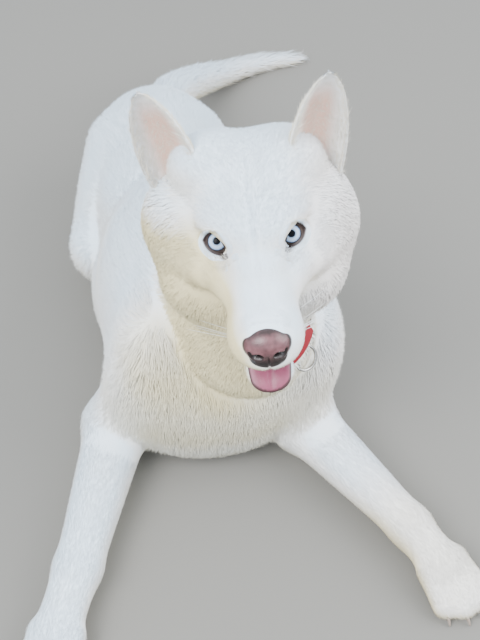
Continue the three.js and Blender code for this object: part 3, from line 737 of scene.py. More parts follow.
# The iris, and the way each eye looks
iris = {
    "radius": 8,
    "bulge": 0.7,
    "look": {"right": (-0.081, -0.529, 0.845), "left": (0.003, -0.611, 0.791)},
}


def makeEye(name, side):
    middle = onHead(eyeFrame(side)[0])
    radius = head["eyeRadius"] * head["scale"]
    gaze = unit(vec(*iris["look"][name])) @ headTurn.T
    across = unit(np.cross((0, 0, 1), gaze))
    up = np.cross(gaze, across)
    edge = math.asin(iris["radius"] / radius)
    turns = np.linspace(0, 2 * math.pi, 64, endpoint=False)
    lean = np.concatenate([np.linspace(0, 1, 25) * edge * 1.1, np.linspace(edge * 1.1, math.pi, 24)[1:]])
    bulge = iris["bulge"] * np.clip(1 - (lean / edge) ** 2, 0, 1)
    ways = fanned(lean, turns, gaze, across, up)
    thing = addRows("eye_" + name + "_ball", middle + ways * (radius + bulge)[:, None, None])
    way = unit(pointsOf(thing) - middle)
    fromPupil = np.arccos(np.clip(way @ gaze, -1, 1)) / edge
    turn = np.arctan2(way @ up, way @ across)
    paint(thing, shadeOf(fromPupil / 4, 0.5 + 0.5 * np.cos(turn), 0.5 + 0.5 * np.sin(turn)))
    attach(thing, "root")
    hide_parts("eye_" + name)
    eyePieces.append(thing)


# Lids: a patch from the edge of the opening out over the eyeball and onto the face
lids = {
    "count": 96,
    "rows": (-5.0, -3.2, -1.6, -0.5, 0.0, 0.5, 1.2, 2.2, 3.4, 4.8, 6.4, 8.2, 10.2, 12.4, 14.8),
    "rim": (-1.5, -1.3, -0.8, 0.1, 0.7, 1.4, 1.8),  # height of the first rows over the eyeball
    "edge": 1.4,  # the last row goes under the skin
    "from": 26,  # height over the eye from which the face is looked for
    "crease": (4.6, 1.5, 0.7),  # place, width and depth of the fold over the upper lid
}


def makeLids(name, side):
    middle, across, up, out = eyeFrame(side)
    outline = eyeOutline(side, lids["count"])
    tangent = np.roll(outline, -1, 0) - np.roll(outline, 1, 0)
    normal = unit(np.stack([tangent[:, 1], -tangent[:, 0]], 1))
    normal *= np.sign(((outline - outline.mean(0)) * normal).sum(1))[:, None]
    radius = head["eyeRadius"]
    overEye = inHead(ball(middle, [radius + eyes["lid"]] * 3))
    field = blend([faceSkin, overEye], 1.5)
    rows = []
    for k, reach in enumerate(lids["rows"]):
        place = outline + normal * reach
        flat = middle + place[:, :1] * across + place[:, 1:] * up
        rim = lids["rim"][k] if k < len(lids["rim"]) else eyes["lid"]
        off = np.linalg.norm(place, axis=1)
        onBall = onHead(flat + np.sqrt(np.maximum((radius + rim) ** 2 - off ** 2, 0))[:, None] * out)
        where, wide, deep = lids["crease"]
        sink = deep * bump(reach - where, wide) * smooth(normal[:, 1], 0, 0.5)
        sink = sink + eyes["lid"] - rim + lids["edge"] * (k == len(lids["rows"]) - 1)
        inward = -(out @ headTurn.T)
        onFace = reached(field, onHead(flat + lids["from"] * out), inward) + inward * sink[:, None]
        toFace = np.maximum(smooth(off / radius, 0.92, 1.12), smooth(reach, 1.0, 6.0))
        rows.append(mix(onBall, onFace, toFace[:, None]))
    quads = facesBetween(len(rows), len(outline))
    if side > 0:
        quads = quads[:, ::-1]
    thing = addMesh("lids_" + name, np.vstack(rows), quads)
    unwrap(thing)
    away = np.repeat(lids["rows"], len(outline))
    place = np.tile(outline, (len(rows), 1))
    corner = np.exp(-((place - vec(*eyes["outline"][0]) * (side, 1)) ** 2).sum(1) / 30)
    low = smooth(place[:, 0] * side - place[:, 1], 2, 14)
    dark = 1 - smooth(away, 1.1 + 0.9 * corner + 0.5 * low, 2.0 + 1.8 * corner + 0.8 * low)
    tan = 0.6 * corner * smooth(10 - away, 0, 7)
    paint(thing, shadeOf(0 * away, np.maximum(tan, 0.15 * smooth(5 - away, 0, 4)), dark))
    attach(thing, "root")
    return {"thing": thing, "away": away, "dark": dark}


eyePieces = []
lidPieces = {}
for name, side in sides.items():
    makeEye(name, side)
    lidPieces[name] = makeLids(name, side)
print("eyes and lids")


# Nose leather, with two nostrils and a groove between them
nose = {
    "middle": (0, -79, -36),
    "rows": 60,
    "around": 96,
    "nostril": ((7.5, -33.5), (11.5, -35), (13.8, -33.5), (14.6, -31)),  # a hook, as across and height
    "nostrilRadius": (3.2, 2.6, 0.8),
    "nostrilDepth": 6.5,
}


# Distance from the edge of the nearer nostril, in the plane of the nose, negative inside
def fromNostril(q):
    place = np.stack([np.abs(q[:, 0]), q[:, 2]], 1)
    away = np.full(len(q), 9.0)
    for k in range(len(nose["nostril"]) - 1):
        a, b = vec(*nose["nostril"][k]), vec(*nose["nostril"][k + 1])
        t = np.clip((place - a) @ (b - a) / ((b - a) @ (b - a)), 0, 1)
        reach = mix(nose["nostrilRadius"][k], nose["nostrilRadius"][min(k + 1, 2)], t)
        away = np.minimum(away, np.linalg.norm(place - a - t[:, None] * (b - a), axis=1) - reach)
    return away


def makeNose():
    turns = np.linspace(0, 2 * math.pi, nose["around"], endpoint=False)
    lean = np.linspace(0, math.radians(150), nose["rows"])
    ways = fanned(lean, turns, vec(0, -1, 0), vec(1, 0, 0), vec(0, 0, 1)).reshape(-1, 3)
    middle = onHead(nose["middle"])
    turned = ways @ headTurn.T
    q = toHead(middle + turned * leaving(noseField, middle, turned, 40, 18)[:, None])
    away = fromNostril(q)
    front = smooth(-ways[:, 1], -0.1, 0.4)
    hole = smooth(-away, -0.5, 1.6)
    groove = bump(q[:, 0], 0.9) * smooth(-q[:, 2], 30, 38) * front
    brim = bump(away - 1.2, 1.1) * front
    q = q - ways * (nose["nostrilDepth"] * hole + 1.3 * groove - 0.45 * brim)[:, None]
    thing = addRows("nose_leather", onHead(q).reshape(nose["rows"], nose["around"], 3))
    q = toHead(pointsOf(thing))
    edge = smooth(headField(pointsOf(thing)), -0.5, 4)
    top = smooth(q[:, 2], -45, -29) * smooth(23 - np.abs(q[:, 0] + 1), 0, 7) * mix(0.45, 1, edge)
    # Painted shade: the insides of the nostrils are darkened
    top = top * smooth(fromNostril(q), -0.4, 1.2) - 0.4 * smooth(-fromNostril(q), -0.3, 0.8)
    paint(thing, shadeOf(top))
    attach(thing, "root")
    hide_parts("nose")
    return thing


nosePiece = makeNose()

# Tongue: it lies on the lower jaw and fills the front of the mouth, a little hollow along its middle
tongue = {
    "path": (
        (0, -16, -57), (0, -34, -65.5), (0, -54, -75.5), (0, -72, -84), (0, -86, -89.5), (0, -95.5, -94),
    ),
    "halfWidths": (13, 17, 18.5, 19, 18, 15.5),
    "halfDepth": 4.4,
    "tip": 0.13,
}


def makeTongue():
    middle = curveThrough(tongue["path"], 60)
    part = np.linspace(0, 1, len(middle))
    wide = np.interp(part, np.linspace(0, 1, 6), tongue["halfWidths"])
    rounding = np.sqrt(np.clip(1 - ((part - (1 - tongue["tip"])) / tongue["tip"]).clip(0, 1) ** 2, 0, 1))
    wide = wide * rounding
    deep = tongue["halfDepth"] * np.sqrt(np.clip(rounding, 0, 1)) * smooth(part, -0.2, 0.1)
    forward = unit(np.gradient(middle, axis=0))
    top = unit(np.cross(vec(1, 0, 0), forward) * -1)
    top *= np.sign(top[:, 2:])
    turns = np.linspace(0, 2 * math.pi, 72, endpoint=False)
    flat = np.sign(np.cos(turns)) * np.abs(np.cos(turns)) ** 0.8
    rows = []
    for i in range(len(middle)):
        x = wide[i] * flat
        z = deep[i] * np.sin(turns)
        curl = (x / max(wide[i], 1)) ** 2
        hollow = -1.5 * bump(x, 2.0) + 2.0 * curl * smooth(part[i], 0.2, 0.6)
        z = z + np.where(np.sin(turns) > 0, hollow * rounding[i], 1.2 * curl * rounding[i])
        rows.append(middle[i] + x[:, None] * vec(1, 0, 0) + z[:, None] * top[i])
    thing = addRows("tongue_flesh", onHead(np.array(rows)))
    q = toHead(pointsOf(thing))
    half = np.interp(-q[:, 1], -middle[:, 1], wide)
    # Painted shade: the tongue's sides and tip are darkened where its edge is in shadow
    rim = np.maximum(smooth(np.abs(q[:, 0]) - half, -1.8, -0.9), smooth(-q[:, 1], 94, 95.2))
    paint(thing, shadeOf(rim))
    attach(thing, "root")
    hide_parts("tongue")
    return thing


tonguePiece = makeTongue()

# Ears: a cupped leaf on each side, open to the front, with a rounded tip
ear = {
    "base": (59, 54, 24),
    "tips": {"right": (-75, 70, 104), "left": (71, 70, 101)},
    "bow": 1,  # both ears bow a little to the dog's right
    "face": (0.3, -0.95, 0.1),
    "halfWidths": (24, 26, 26, 23, 17, 5),
    "start": -0.3,
    "wrap": (98, 80),  # degrees that each edge reaches round from the back, at the base and the tip
    "wall": 2.6,
    "rows": 48,
    "around": 40,
}


def makeEar(name, side):
    base, tip = vec(side, 1, 1) * ear["base"], vec(*ear["tips"][name])
    axis = tip - base
    face = vec(side, 1, 1) * ear["face"]
    face = unit(face - axis * (face @ axis) / (axis @ axis))
    across = unit(np.cross(face, axis)) * side
    share = np.linspace(0, 1, ear["rows"])
    share = 1 - (1 - share) ** 1.25
    profile = curveThrough([(i / 5, half, 0) for i, half in enumerate(ear["halfWidths"])], 201)
    widths = np.interp(share, profile[:, 0], profile[:, 1])
    widths = widths * np.sqrt(np.clip((1.01 - share) / 0.06, 0, 1)).clip(0, 1)
    rows = []
    for k, half in zip(share, widths):
        turns = np.radians(np.linspace(-1, 1, ear["around"]) * mix(*ear["wrap"], k))
        centre = base + axis * mix(ear["start"], 1, k) + across * side * ear["bow"] * math.sin(math.pi * k)
        wall = ear["wall"] * mix(1.2, 0.6, k)
        deep = half * mix(0.6, 0.45, k)
        back = centre + half * np.sin(turns)[:, None] * across - deep * np.cos(turns)[:, None] * face
        thin = max(half - wall, 0.3)
        front = centre + thin * np.sin(turns)[:, None] * across - (
            thin / half * deep * np.cos(turns) - 0.4 * wall)[:, None] * face
        rows.append(np.vstack([back, front[::-1]]))
    rows = np.array(rows)
    rows = np.concatenate([rows[:1].mean(1, keepdims=True).repeat(rows.shape[1], 1), rows,
                           rows[-1:].mean(1, keepdims=True).repeat(rows.shape[1], 1) + axis * 0.004])
    thing = addRows("ear_" + name + "_leaf", onHead(rows))
    unwrap(thing)
    q = toHead(pointsOf(thing))
    place = q - base
    along = place @ axis / (axis @ axis)
    outward = toHead(pointsOf(thing) + outsOf(thing)) - q
    inner = smooth(unit(outward) @ face, 0.05, 0.5)
    sidePart = (place @ across - side * ear["bow"]) / np.interp(
        along, np.linspace(ear["start"], 1, 6), ear["halfWidths"])
    bare = inner * smooth(1.0 - np.abs(sidePart), 0.08, 0.7) * smooth(0.98 - along, 0.0, 0.4)
    paint(thing, shadeOf(0.5 * inner, 0.4 * inner, 0, 1 - bare))
    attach(thing, "root")
    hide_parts("ear_" + name)
    tipWay = unit(axis @ headTurn.T)
    return {"thing": thing, "along": along, "inner": inner, "sidePart": sidePart, "tip": tipWay,
            "face": face @ headTurn.T, "across": across @ headTurn.T}


earPieces = {name: makeEar(name, side) for name, side in sides.items()}
print("nose, tongue and ears")


# The coat: thin bent tufts that lie along the body, in pieces for each region
coat = {
    "bury": 1.2,  # how far a root goes under the skin
    "patch": 0.003,  # width of a tuft's patch on the skin's unwrap
    "clumpPull": 0.25,
    "clumpCount": 8,
    "scatter": 0.17,  # how far tufts turn from the lie, in radians
    "ridge": 0.22,  # height of a tuft's ridge, as a part of its width
    "soften": 0.82,  # how much a tuft is lit as the skin under it is
    "pieceLimit": 190000,
}
#             length, width, lift, cover, steps
hair = {
    "trunk": (21, 1.05, 0.15, 5.2, 1),
    "neck": (22, 1.15, 0.09, 8.2, 2),
    "head": (8, 0.62, 0.15, 4.8, 1),
    "jaw": (8, 0.62, 0.2, 4.6, 1),
    "tail": (36, 1.15, 0.26, 7, 2),
    "foreleg_right": (13, 0.85, 0.13, 4.2, 1),
    "foreleg_left": (13, 0.85, 0.13, 4.2, 1),
    "hindleg_right": (18, 1.0, 0.15, 4.4, 1),
    "hindleg_left": (18, 1.0, 0.15, 4.4, 1),
}
bentFrom = 23  # a longer tuft has a bend more


# The way along a path where it is nearest to each point
def wayAlong(path, p):
    path = np.array(path, float)
    best = np.full(len(p), 1e9)
    way = np.zeros_like(p)
    for i in range(len(path) - 1):
        step = path[i + 1] - path[i]
        t = np.clip((p - path[i]) @ step / (step @ step), 0, 1)
        away = np.linalg.norm(p - path[i] - t[:, None] * step, axis=1)
        way[away < best] = unit(step)
        best = np.minimum(best, away)
    return way


# How much of each region there is in the skin at each point
def sharesOf(p):
    values = np.array([outlines[region](p) for region in regions])
    shares = np.exp(-(values - values.min(0)) / 9)
    return dict(zip(regions, shares / shares.sum(0)))


# The lie of the coat: from the nose back over the head, down the neck, along the trunk, down the legs
def lieAt(p, out, shares):
    across, y, z = toHead(p).T
    back = np.stack([0.15 * out[:, 0], np.ones(len(p)), -0.55 * np.abs(out[:, 0])], 1)
    lower = smooth(-z, 10, 60)
    parting = np.tanh(across / 3) * bump(across, 12) * smooth(60 - np.abs(y), 0, 40)
    local = np.stack([
        0.45 * np.tanh(across / 30) * smooth(y, -40, 20) + 0.7 * parting,
        1 - 0.6 * lower * smooth(y, -5, 40),
        -1.1 * lower * smooth(y, -25, 30) - 0.1,
    ], 1)
    ways = {
        "trunk": mix(back, vec(0, 0.1, -1), smooth(-out[:, 1], 0.1, 0.6)[:, None]),
        "neck": mix(-collar["axis"] + 0.2 * out, back, 0.35 * smooth(out[:, 1], 0, 0.8)[:, None]),
        "head": local @ headTurn.T,
        "jaw": np.tile(vec(0, 1, -0.35) @ headTurn.T, (len(p), 1)),
        "tail": wayAlong(tailCurve[::4], p) + 0.1 * out,
    }
    for name in sides:
        ways["foreleg_" + name] = wayAlong(forelegs[name]["path"], p)
        foot = wayAlong(hindlegs["paths"][name][2:], p)
        ways["hindleg_" + name] = mix(vec(0, 0.7, -0.7), foot, smooth(-p[:, 2], -70, -45)[:, None])
    way = sum(unit(ways[region]) * shares[region][:, None] for region in regions)
    return unit(way - (way * out).sum(1)[:, None] * out)


# Length, width, lift and cover of the coat at points of the skin
def coatAt(p, out, shares):
    length, width, lift, cover = [
        sum(shares[region] * hair[region][k] for region in regions) for k in range(4)
    ]
    across, y, z = toHead(p).T
    face = shares["head"] + shares["jaw"]
    muzzle = smooth(-y, -8, 30) * face
    cheek = smooth(np.abs(across), 30, 54) * smooth(y, 10, 46) * smooth(-z, -20, 15) * face
    paws = (1 - face - shares["trunk"] - shares["neck"] - shares["tail"]) * smooth(-p[:, 2], -62, -25)
    chest = smooth(-out[:, 1], 0.3, 0.8) * (shares["trunk"] + shares["neck"])
    length = length * mix(1, 0.5, muzzle) * mix(1, 2.0, cheek) * mix(1, 0.6, paws) * mix(1, 1.15, chest)
    width = width * mix(1, 0.75, muzzle) * mix(1, 1.4, cheek) * mix(1, 0.8, paws)
    lift = lift * mix(1, 0.7, muzzle)
    cover = cover * mix(1, 0.45, smooth(-out[:, 2], 0.35, 0.8)) * mix(1, 1.25, cheek)
    above, turn, shown = roundNeck(p)
    shown = shown * smooth(shares["neck"], 0.2, 0.6)
    under = smooth(above, -collar["width"] / 2 - 2, -collar["width"] / 2) * smooth(-above, -3, 1)
    cover = cover * (1 - shown * under)
    length = mix(length, np.minimum(length, np.maximum(above - 1, 4)), shown * smooth(above, 0, 3))
    byRing = smooth(0.34 - np.abs(turn - collar["ringTurn"]), 0, 0.1) * smooth(shares["neck"], 0.2, 0.6)
    byRing *= smooth(above, -50, -36) * smooth(-above, 6, 9)
    length = length * mix(1, 0.5, byRing)
    lift = lift * mix(1, 0.4, byRing)
    return length, width, lift, cover


# Markings of the coat: cream on the right cheek, throat and chest, and cream as painted shade where the
# coat faces down and on the left foreleg, with painted cool light where it faces up; warm on the left;
# dark on the lips, and painted shade along the forehead's furrow
def markingsAt(p, out):
    q = toHead(p)
    across, y, z = q.T
    far = np.linalg.norm(q, axis=1)
    near = smooth(170 - far, 30, 80)
    # Painted shade: the coat turns cream as it faces down, and gets painted cool light where it faces up
    shadeAndCream = 0.42 * smooth(-out[:, 2], -0.75, -0.1) + 0.35 * smooth(-out[:, 2], -0.1, 0.6)
    shadeAndCream += near * 1.1 * smooth(-across, 10, 40) * smooth(-z, -20, 25)
    shadeAndCream += 0.35 * smooth(-p[:, 1], -20, 70) * smooth(-p[:, 2], -300, -200) * smooth(p[:, 2], 60, 110)
    throat = smooth(-z, 10, 60) * smooth(280 - far, 0, 90) * smooth(-p[:, 1], -50, 30)
    shadeAndCream += 0.7 * smooth(-across, -10, 45) * throat
    # Painted shade on the left foreleg
    shadeAndCream += 0.5 * smooth(p[:, 0], 120, 200) * smooth(-p[:, 1], 60, 160)
    warm = 0.3 * smooth(p[:, 0], 50, 120) + near * 0.6 * smooth(across, 20, 60)
    mouthPart = smooth(-y, 10, 16) * smooth(60 - np.abs(across), 0, 10) * near
    upper, lower = overLip(q, "upperLip"), -overLip(q, "lowerLip")
    inMouth = mouthPart * smooth(-np.maximum(upper, lower), -2.0, -0.4)
    lipEdge = mouthPart * smooth(-np.abs(lower), -3.4, -2.2) * smooth(-upper, 4, 8)
    # Painted shade: a faint dark line along the forehead's furrow
    furrow = 0.1 * bump(across, 2.2) * smooth(z, -18, 4) * smooth(70 - y, 0, 40) * near
    dark = np.maximum(lipEdge, furrow)
    return shadeOf(np.clip(shadeAndCream, 0, 1), np.clip(warm, 0, 1), dark, 1 - inMouth * (1 - lipEdge))


# Nearness to the inner corner of an eye, where some tufts are dark
def nearCorner(p):
    q = toHead(p)
    near = np.zeros(len(q))
    for side in sides.values():
        middle, across, up, out = eyeFrame(side)
        inner = eyes["outline"][0]
        corner = middle + inner[0] * side * across + inner[1] * up + 10 * out
        near = np.maximum(near, smooth(22 - np.linalg.norm(q - corner, axis=1), 0, 15))
    return near


# Roots at random over a surface, with what is given for its points carried to them
def scattered(thing, density, carried):
    points = pointsOf(thing)
    mesh = thing.data
    mesh.calc_loop_triangles()
    corner = read(mesh.loop_triangles, "vertices", 3, np.int32)
    uv = read(mesh.uv_layers["OFBake"].data, "uv", 2)[read(mesh.loop_triangles, "loops", 3, np.int32)]
    a, b, c = (points[corner[:, k]] for k in range(3))
    area = np.linalg.norm(np.cross(b - a, c - a), axis=1) / 2
    wanted = area * density[corner].mean(1)
    count = np.floor(wanted + chance.random(len(wanted))).astype(int)
    face = np.repeat(np.arange(len(count)), count)
    s = np.sqrt(chance.random(len(face)))
    t = chance.random(len(face))
    weights = np.stack([1 - s, s * (1 - t), s * t], 1)
    roots = {"root": points, **carried}
    found = {
        key: np.einsum("ij,ij...->i...", weights, values[corner[face]]) for key, values in roots.items()
    }
    found["place"] = np.einsum("ij,ijk->ik", weights, uv[face])
    return found


# Each tuft's own line: it leaves the skin, leans over and follows the lie
def spinesOf(roots, steps, field=None):
    p = roots["root"].copy()
    out, way = unit(roots["out"]), unit(roots["way"])
    count = len(p)
    turn = coat["scatter"] * chance.normal(size=count)
    lift = roots["lift"] * chance.uniform(0.7, 1.35, count)
    part = roots["length"] * chance.uniform(0.75, 1.2, count) / steps
    spine, outs = [p - out * coat["bury"]], [out]
    for i in range(1, steps + 1):
        rise = lift * mix(1.3, 0.5, (i - 0.5) / steps)
        lean = unit(way + np.cross(out, way) * (turn * (0.5 + i / steps))[:, None])
        p = p + (lean * np.cos(rise)[:, None] + out * np.sin(rise)[:, None]) * part[:, None]
        spine.append(p)
        if field and i < steps:
            out = unit(slopeOf(field, p, 1.0)[0])
            way = unit(way - (way * out).sum(1)[:, None] * out)
        outs.append(out)
    return np.stack(spine, 1), np.stack(outs, 1)


# Neighbours lean together towards a common tip
def clumped(spine):
    roots = spine[:, 0]
    guides = chance.permutation(len(roots))[:max(len(roots) // coat["clumpCount"], 1)]
    tree = KDTree(len(guides))
    for k, i in enumerate(guides):
        tree.insert(roots[i], k)
    tree.balance()
    guide = guides[[tree.find(root)[1] for root in roots]]
    pull = coat["clumpPull"] * np.linspace(0, 1, spine.shape[1]) ** 1.3
    offset = (spine[guide] - roots[guide][:, None]) - (spine - roots[:, None])
    gather = (roots[guide] - roots)[:, None] * 0.8
    return spine + (offset + gather) * pull[None, :, None]


# A closed three-sided blade round each line
def addTufts(name, spine, outs, roots):
    count, rings = spine.shape[:2]
    levels = rings - 1
    width = roots["width"] * chance.uniform(0.75, 1.2, count)
    ways = unit(np.diff(spine, axis=1))
    across = unit(np.cross(ways, outs[:, :-1]))
    top = np.cross(across, ways)
    part = np.linspace(0, 1, rings)[:-1]
    half = width[:, None] / 2 * (1.0 - 0.4 * part ** 2)
    ridge = coat["ridge"] * width[:, None] * (1.0 - 0.4 * part)
    ring = np.stack([
        spine[:, :-1] - across * half[:, :, None],
        spine[:, :-1] + across * half[:, :, None],
        spine[:, :-1] + top * ridge[:, :, None],
    ], 2)
    points = np.concatenate([ring.reshape(count, levels * 3, 3), spine[:, -1:]], 1)
    points[:, :, 2] = np.maximum(points[:, :, 2], 0.4)
    each = points.shape[1]
    faces = [(0, 1, 2)]
    for k in range(levels):
        for j in range(3):
            a, b = 3 * k + j, 3 * k + (j + 1) % 3
            if k == levels - 1:
                faces.append((a, each - 1, b))
            else:
                faces += [(a, a + 3, b), (b, a + 3, b + 3)]
    faces = np.array(faces)
    index = (np.arange(count)[:, None, None] * each + faces[None]).reshape(-1, 3)
    thing = addMesh(name, points.reshape(-1, 3), index)
    offset = coat["patch"] * np.array([((i % 3 - 1) / 2, (i // 3) / levels - 0.5) for i in range(each)])
    uv = (roots["place"][:, None, :] + offset)[:, faces.ravel()]
    thing.data.uv_layers.new(name="OFBake").data.foreach_set("uv", uv.astype(np.float32).ravel())
    paint(thing, np.repeat(roots["markings"], each, axis=0))
    soft = np.concatenate([np.repeat(outs[:, :-1], 3, axis=1), outs[:, -1:]], 1).reshape(-1, 3)
    normals = unit(mix(outsOf(thing), soft, coat["soften"]))
    thing.data.normals_split_custom_set_from_vertices(normals.astype(np.float32))
    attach(thing, "root")
    return thing


# Some of the roots, with all that is known of them
def chosen(roots, which):
    return {key: values[which] for key, values in roots.items()}


# Tufts on the roots, in pieces under the limit of triangles
def growCoat(name, roots, steps, field=None):
    spine, outs = spinesOf(roots, steps, field)
    spine = clumped(spine)
    most = coat["pieceLimit"] // (6 * steps - 2)
    for first in range(0, len(spine), most):
        few = slice(first, first + most)
        label = name + "_" + "abcdefgh"[first // most]
        coatPieces.append(addTufts(label, spine[few], outs[few], chosen(roots, few)))


points, outs = pointsOf(skinPiece), outsOf(skinPiece)
shares = sharesOf(points)
length, width, lift, cover = coatAt(points, outs, shares)
q = toHead(points)
shade = markingsAt(points, outs)
paint(skinPiece, shade)
bare = (points[:, 2] < 2.5) | (shade[:, 2] > 0.3) | (shade[:, 3] < 0.7) | (noseField(points) < 1.5)
inMouth = (aboveJaw(points) > -2.5) & (underUpperLip(points) > 1.5)
bare |= (eyeDent(q) > 0.3) | (inMouth & (q[:, 1] < mouth["corner"][0]) & (np.abs(q[:, 0]) < 24))
density = np.where(bare, 0, cover / (length * width))
strongest = np.array([shares[region] for region in regions]).argmax(0)
roots = scattered(skinPiece, density, {
    "out": outs, "way": lieAt(points, outs, shares), "length": length, "width": width, "lift": lift,
    "markings": shade, "region": np.eye(len(regions))[strongest],
})
whose = roots.pop("region").argmax(1)
roots["markings"][:, 2] += 0.4 * nearCorner(roots["root"]) * (chance.random(len(whose)) < 0.5)
coatPieces = []
for k, region in enumerate(regions):
    few = chosen(roots, whose == k)
    if hair[region][4] == 1:
        long = few["length"] > bentFrom
        growCoat("coat_" + region, chosen(few, ~long), 1)
        few = chosen(few, long)
        region += "_long"
    growCoat("coat_" + region, few, 2, skinField)
    print(region, len(few["root"]))

# Short coat of the lids, away from each eye
for name, side in sides.items():
    thing, away = lidPieces[name]["thing"], lidPieces[name]["away"]
    points, outs = pointsOf(thing), outsOf(thing)
    middle = onHead(eyeFrame(side)[0])
    if ((points - middle) * outs).sum() < 0:
        thing.data.flip_normals()
        outs = -outs
    shares = sharesOf(points)
    way = lieAt(points, outs, shares) + 0.4 * unit(points - middle)
    length = mix(2.4, 4.6, smooth(away, 2, 12))
    density = np.where((away > 1.9) & (lidPieces[name]["dark"] < 0.1), 3.6 / (length * 0.5), 0)
    roots = scattered(thing, density, {
        "out": outs, "way": unit(way - (way * outs).sum(1)[:, None] * outs), "length": length,
        "width": 0 * length + 0.5, "lift": 0 * length + 0.13, "markings": markingsAt(points, outs),
    })
    count = len(roots["root"])
    roots["markings"][:, 2] += 0.5 * nearCorner(roots["root"]) * (chance.random(count) < 0.6)
    growCoat("coat_lids_" + name, roots, 1)

# Ears: short coat towards the tip, fringes on the edges and long hair across the cup
for name, cup in earPieces.items():
    thing = cup["thing"]
    outs = outsOf(thing)
    edge = smooth(np.abs(cup["sidePart"]), 0.7, 1.0)
    inward = -cup["across"] * np.sign(cup["sidePart"])[:, None] * cup["inner"][:, None]
    way = cup["tip"] + 0.7 * inward + 0.25 * cup["face"] * cup["inner"][:, None]
    way = unit(way - (way * outs).sum(1)[:, None] * outs)
    length = mix(6.5, 13, cup["inner"] * smooth(0.8 - cup["along"], 0, 0.5)) * mix(1, 1.2, edge)
    length = length * mix(0.5, 1, smooth(1 - cup["along"], 0, 0.15))
    inside = 1.2 + 2.6 * smooth(np.abs(cup["sidePart"]), 0.2, 0.9)
    cover = mix(4.6, inside, cup["inner"]) * mix(1, 1.3, edge) * smooth(1.04 - cup["along"], 0, 0.06)
    growCoat("coat_ear_" + name, scattered(thing, cover / (length * 0.55), {
        "out": unit(outs + edge[:, None] * cup["face"]), "way": way, "length": length,
        "width": 0 * length + 0.55, "lift": mix(0.12, 0.22, cup["inner"]),
        "markings": shadeOf(0.7 * np.maximum(cup["inner"], edge), 0.5 * cup["inner"]),
    }), 1)

# Whiskers: long thin hairs out of the pads beside the nose
whisker = {
    "length": (24, 40),
    "width": 0.32,
    "density": 0.011,
    "steps": 6,
    "pad": ((12, -74, -52), (60, -48, -36)),  # box of the pads in the head's frame, to both sides
}
points, outs = pointsOf(skinPiece), outsOf(skinPiece)
q = toHead(points)
place = np.stack([np.abs(q[:, 0]), q[:, 1], q[:, 2]], 1)
pad = ((place > whisker["pad"][0]) & (place < whisker["pad"][1])).all(1)
roots = scattered(skinPiece, whisker["density"] * pad, {
    "out": outs, "way": lieAt(points, outs, sharesOf(points)),
    "width": np.full(len(points), whisker["width"]), "markings": shadeOf(np.full(len(points), 0.3)),
})
reach = chance.uniform(*whisker["length"], len(roots["root"]))[:, None, None]
part = np.linspace(0, 1, whisker["steps"] + 1)[:, None]
start = unit(roots["out"] + 0.5 * roots["way"] + vec(0, 0, -0.15))[:, None]
droop = (0.3 * roots["way"] + vec(0, 0, -0.35))[:, None]
spine = roots["root"][:, None] + reach * (start * part + droop * part ** 2)
coatPieces.append(addTufts("coat_whiskers", spine, np.repeat(roots["out"][:, None], len(part), 1), roots))
print("coat", sum(len(piece.data.polygons) for piece in coatPieces), "triangles")


# Collar: a woven band in the coat, with a tab and a metal ring
def collarWay(turn):
    return roundWays(turn, collarAcross, collarOut)


def onNeck(turn, depth):
    way = collarWay(turn)
    return collar["middle"] + way * (leaving(neckField, collar["middle"], way, 260, 20) - depth)[:, None]


def makeCollar():
    turns = np.linspace(0, 2 * math.pi, 240, endpoint=False)
    hidden = collar["deeper"] * (1 - shownAt(turns))
    middle = onNeck(turns, collar["depth"] + hidden + collar["thickness"] / 2)
    tilt = collar["bareTilt"] * shownAt(turns)[:, None]
    way = collarWay(turns) * np.cos(tilt) + collar["axis"] * np.sin(tilt)
    up = collar["axis"] * np.cos(tilt) - collarWay(turns) * np.sin(tilt)
    corners = np.radians(np.arange(0, 360, 20))
    rows = []
    for lean in corners:
        wide = np.sign(np.cos(lean)) * abs(np.cos(lean)) ** 0.25 * collar["width"] / 2
        deep = np.sign(np.sin(lean)) * abs(np.sin(lean)) ** 0.5 * collar["thickness"] / 2
        rows.append(middle + up * wide + way * deep)
    rows = np.array(rows)
    rows = np.concatenate([rows, rows[:1]])
    thing = addRows("collar_band", rows)
    unwrap(thing)
    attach(thing, "root")
    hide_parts("collar")
    return thing


ring = {
    "radius": 13,
    "wire": 1.6,
    "depth": 8.5,  # of the tab's middle, under the outside of the neck's coat
    "hang": 2.5,
    "fall": (0.8, -0.6),  # the ring's way down, out from the neck and along its axis
    "tabRadius": 5,
    "tabWire": 1.5,
}


# A ring of wire about a middle, in the plane of two ways
def addRing(name, middle, first, second, radius, wire):
    side = np.cross(first, second)
    turns = np.linspace(0, 2 * math.pi, 97)
    lean = np.linspace(0, 2 * math.pi, 16, endpoint=False)
    ways = roundWays(turns, first, second)
    thing = addRows(name, [middle + way * radius + wire * roundWays(lean, way, side) for way in ways])
    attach(thing, "root")
    return thing


collarPiece = makeCollar()
ringOut = collarWay(vec(collar["ringTurn"]))[0]
ringSide = unit(np.cross(collar["axis"], ringOut))
tabMiddle = onNeck(vec(collar["ringTurn"]), ring["depth"])[0]
tabMiddle = tabMiddle + collar["axis"] * (-collar["width"] / 2 - ring["hang"])
tabPiece = addRing("collar_tab", tabMiddle, ringOut, collar["axis"], ring["tabRadius"], ring["tabWire"])
drop = ring["fall"][0] * ringOut + ring["fall"][1] * collar["axis"]
ringPiece = addRing(
    "ring_wire", tabMiddle + drop * ring["radius"], drop, ringSide, ring["radius"], ring["wire"])
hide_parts("collar_ring")

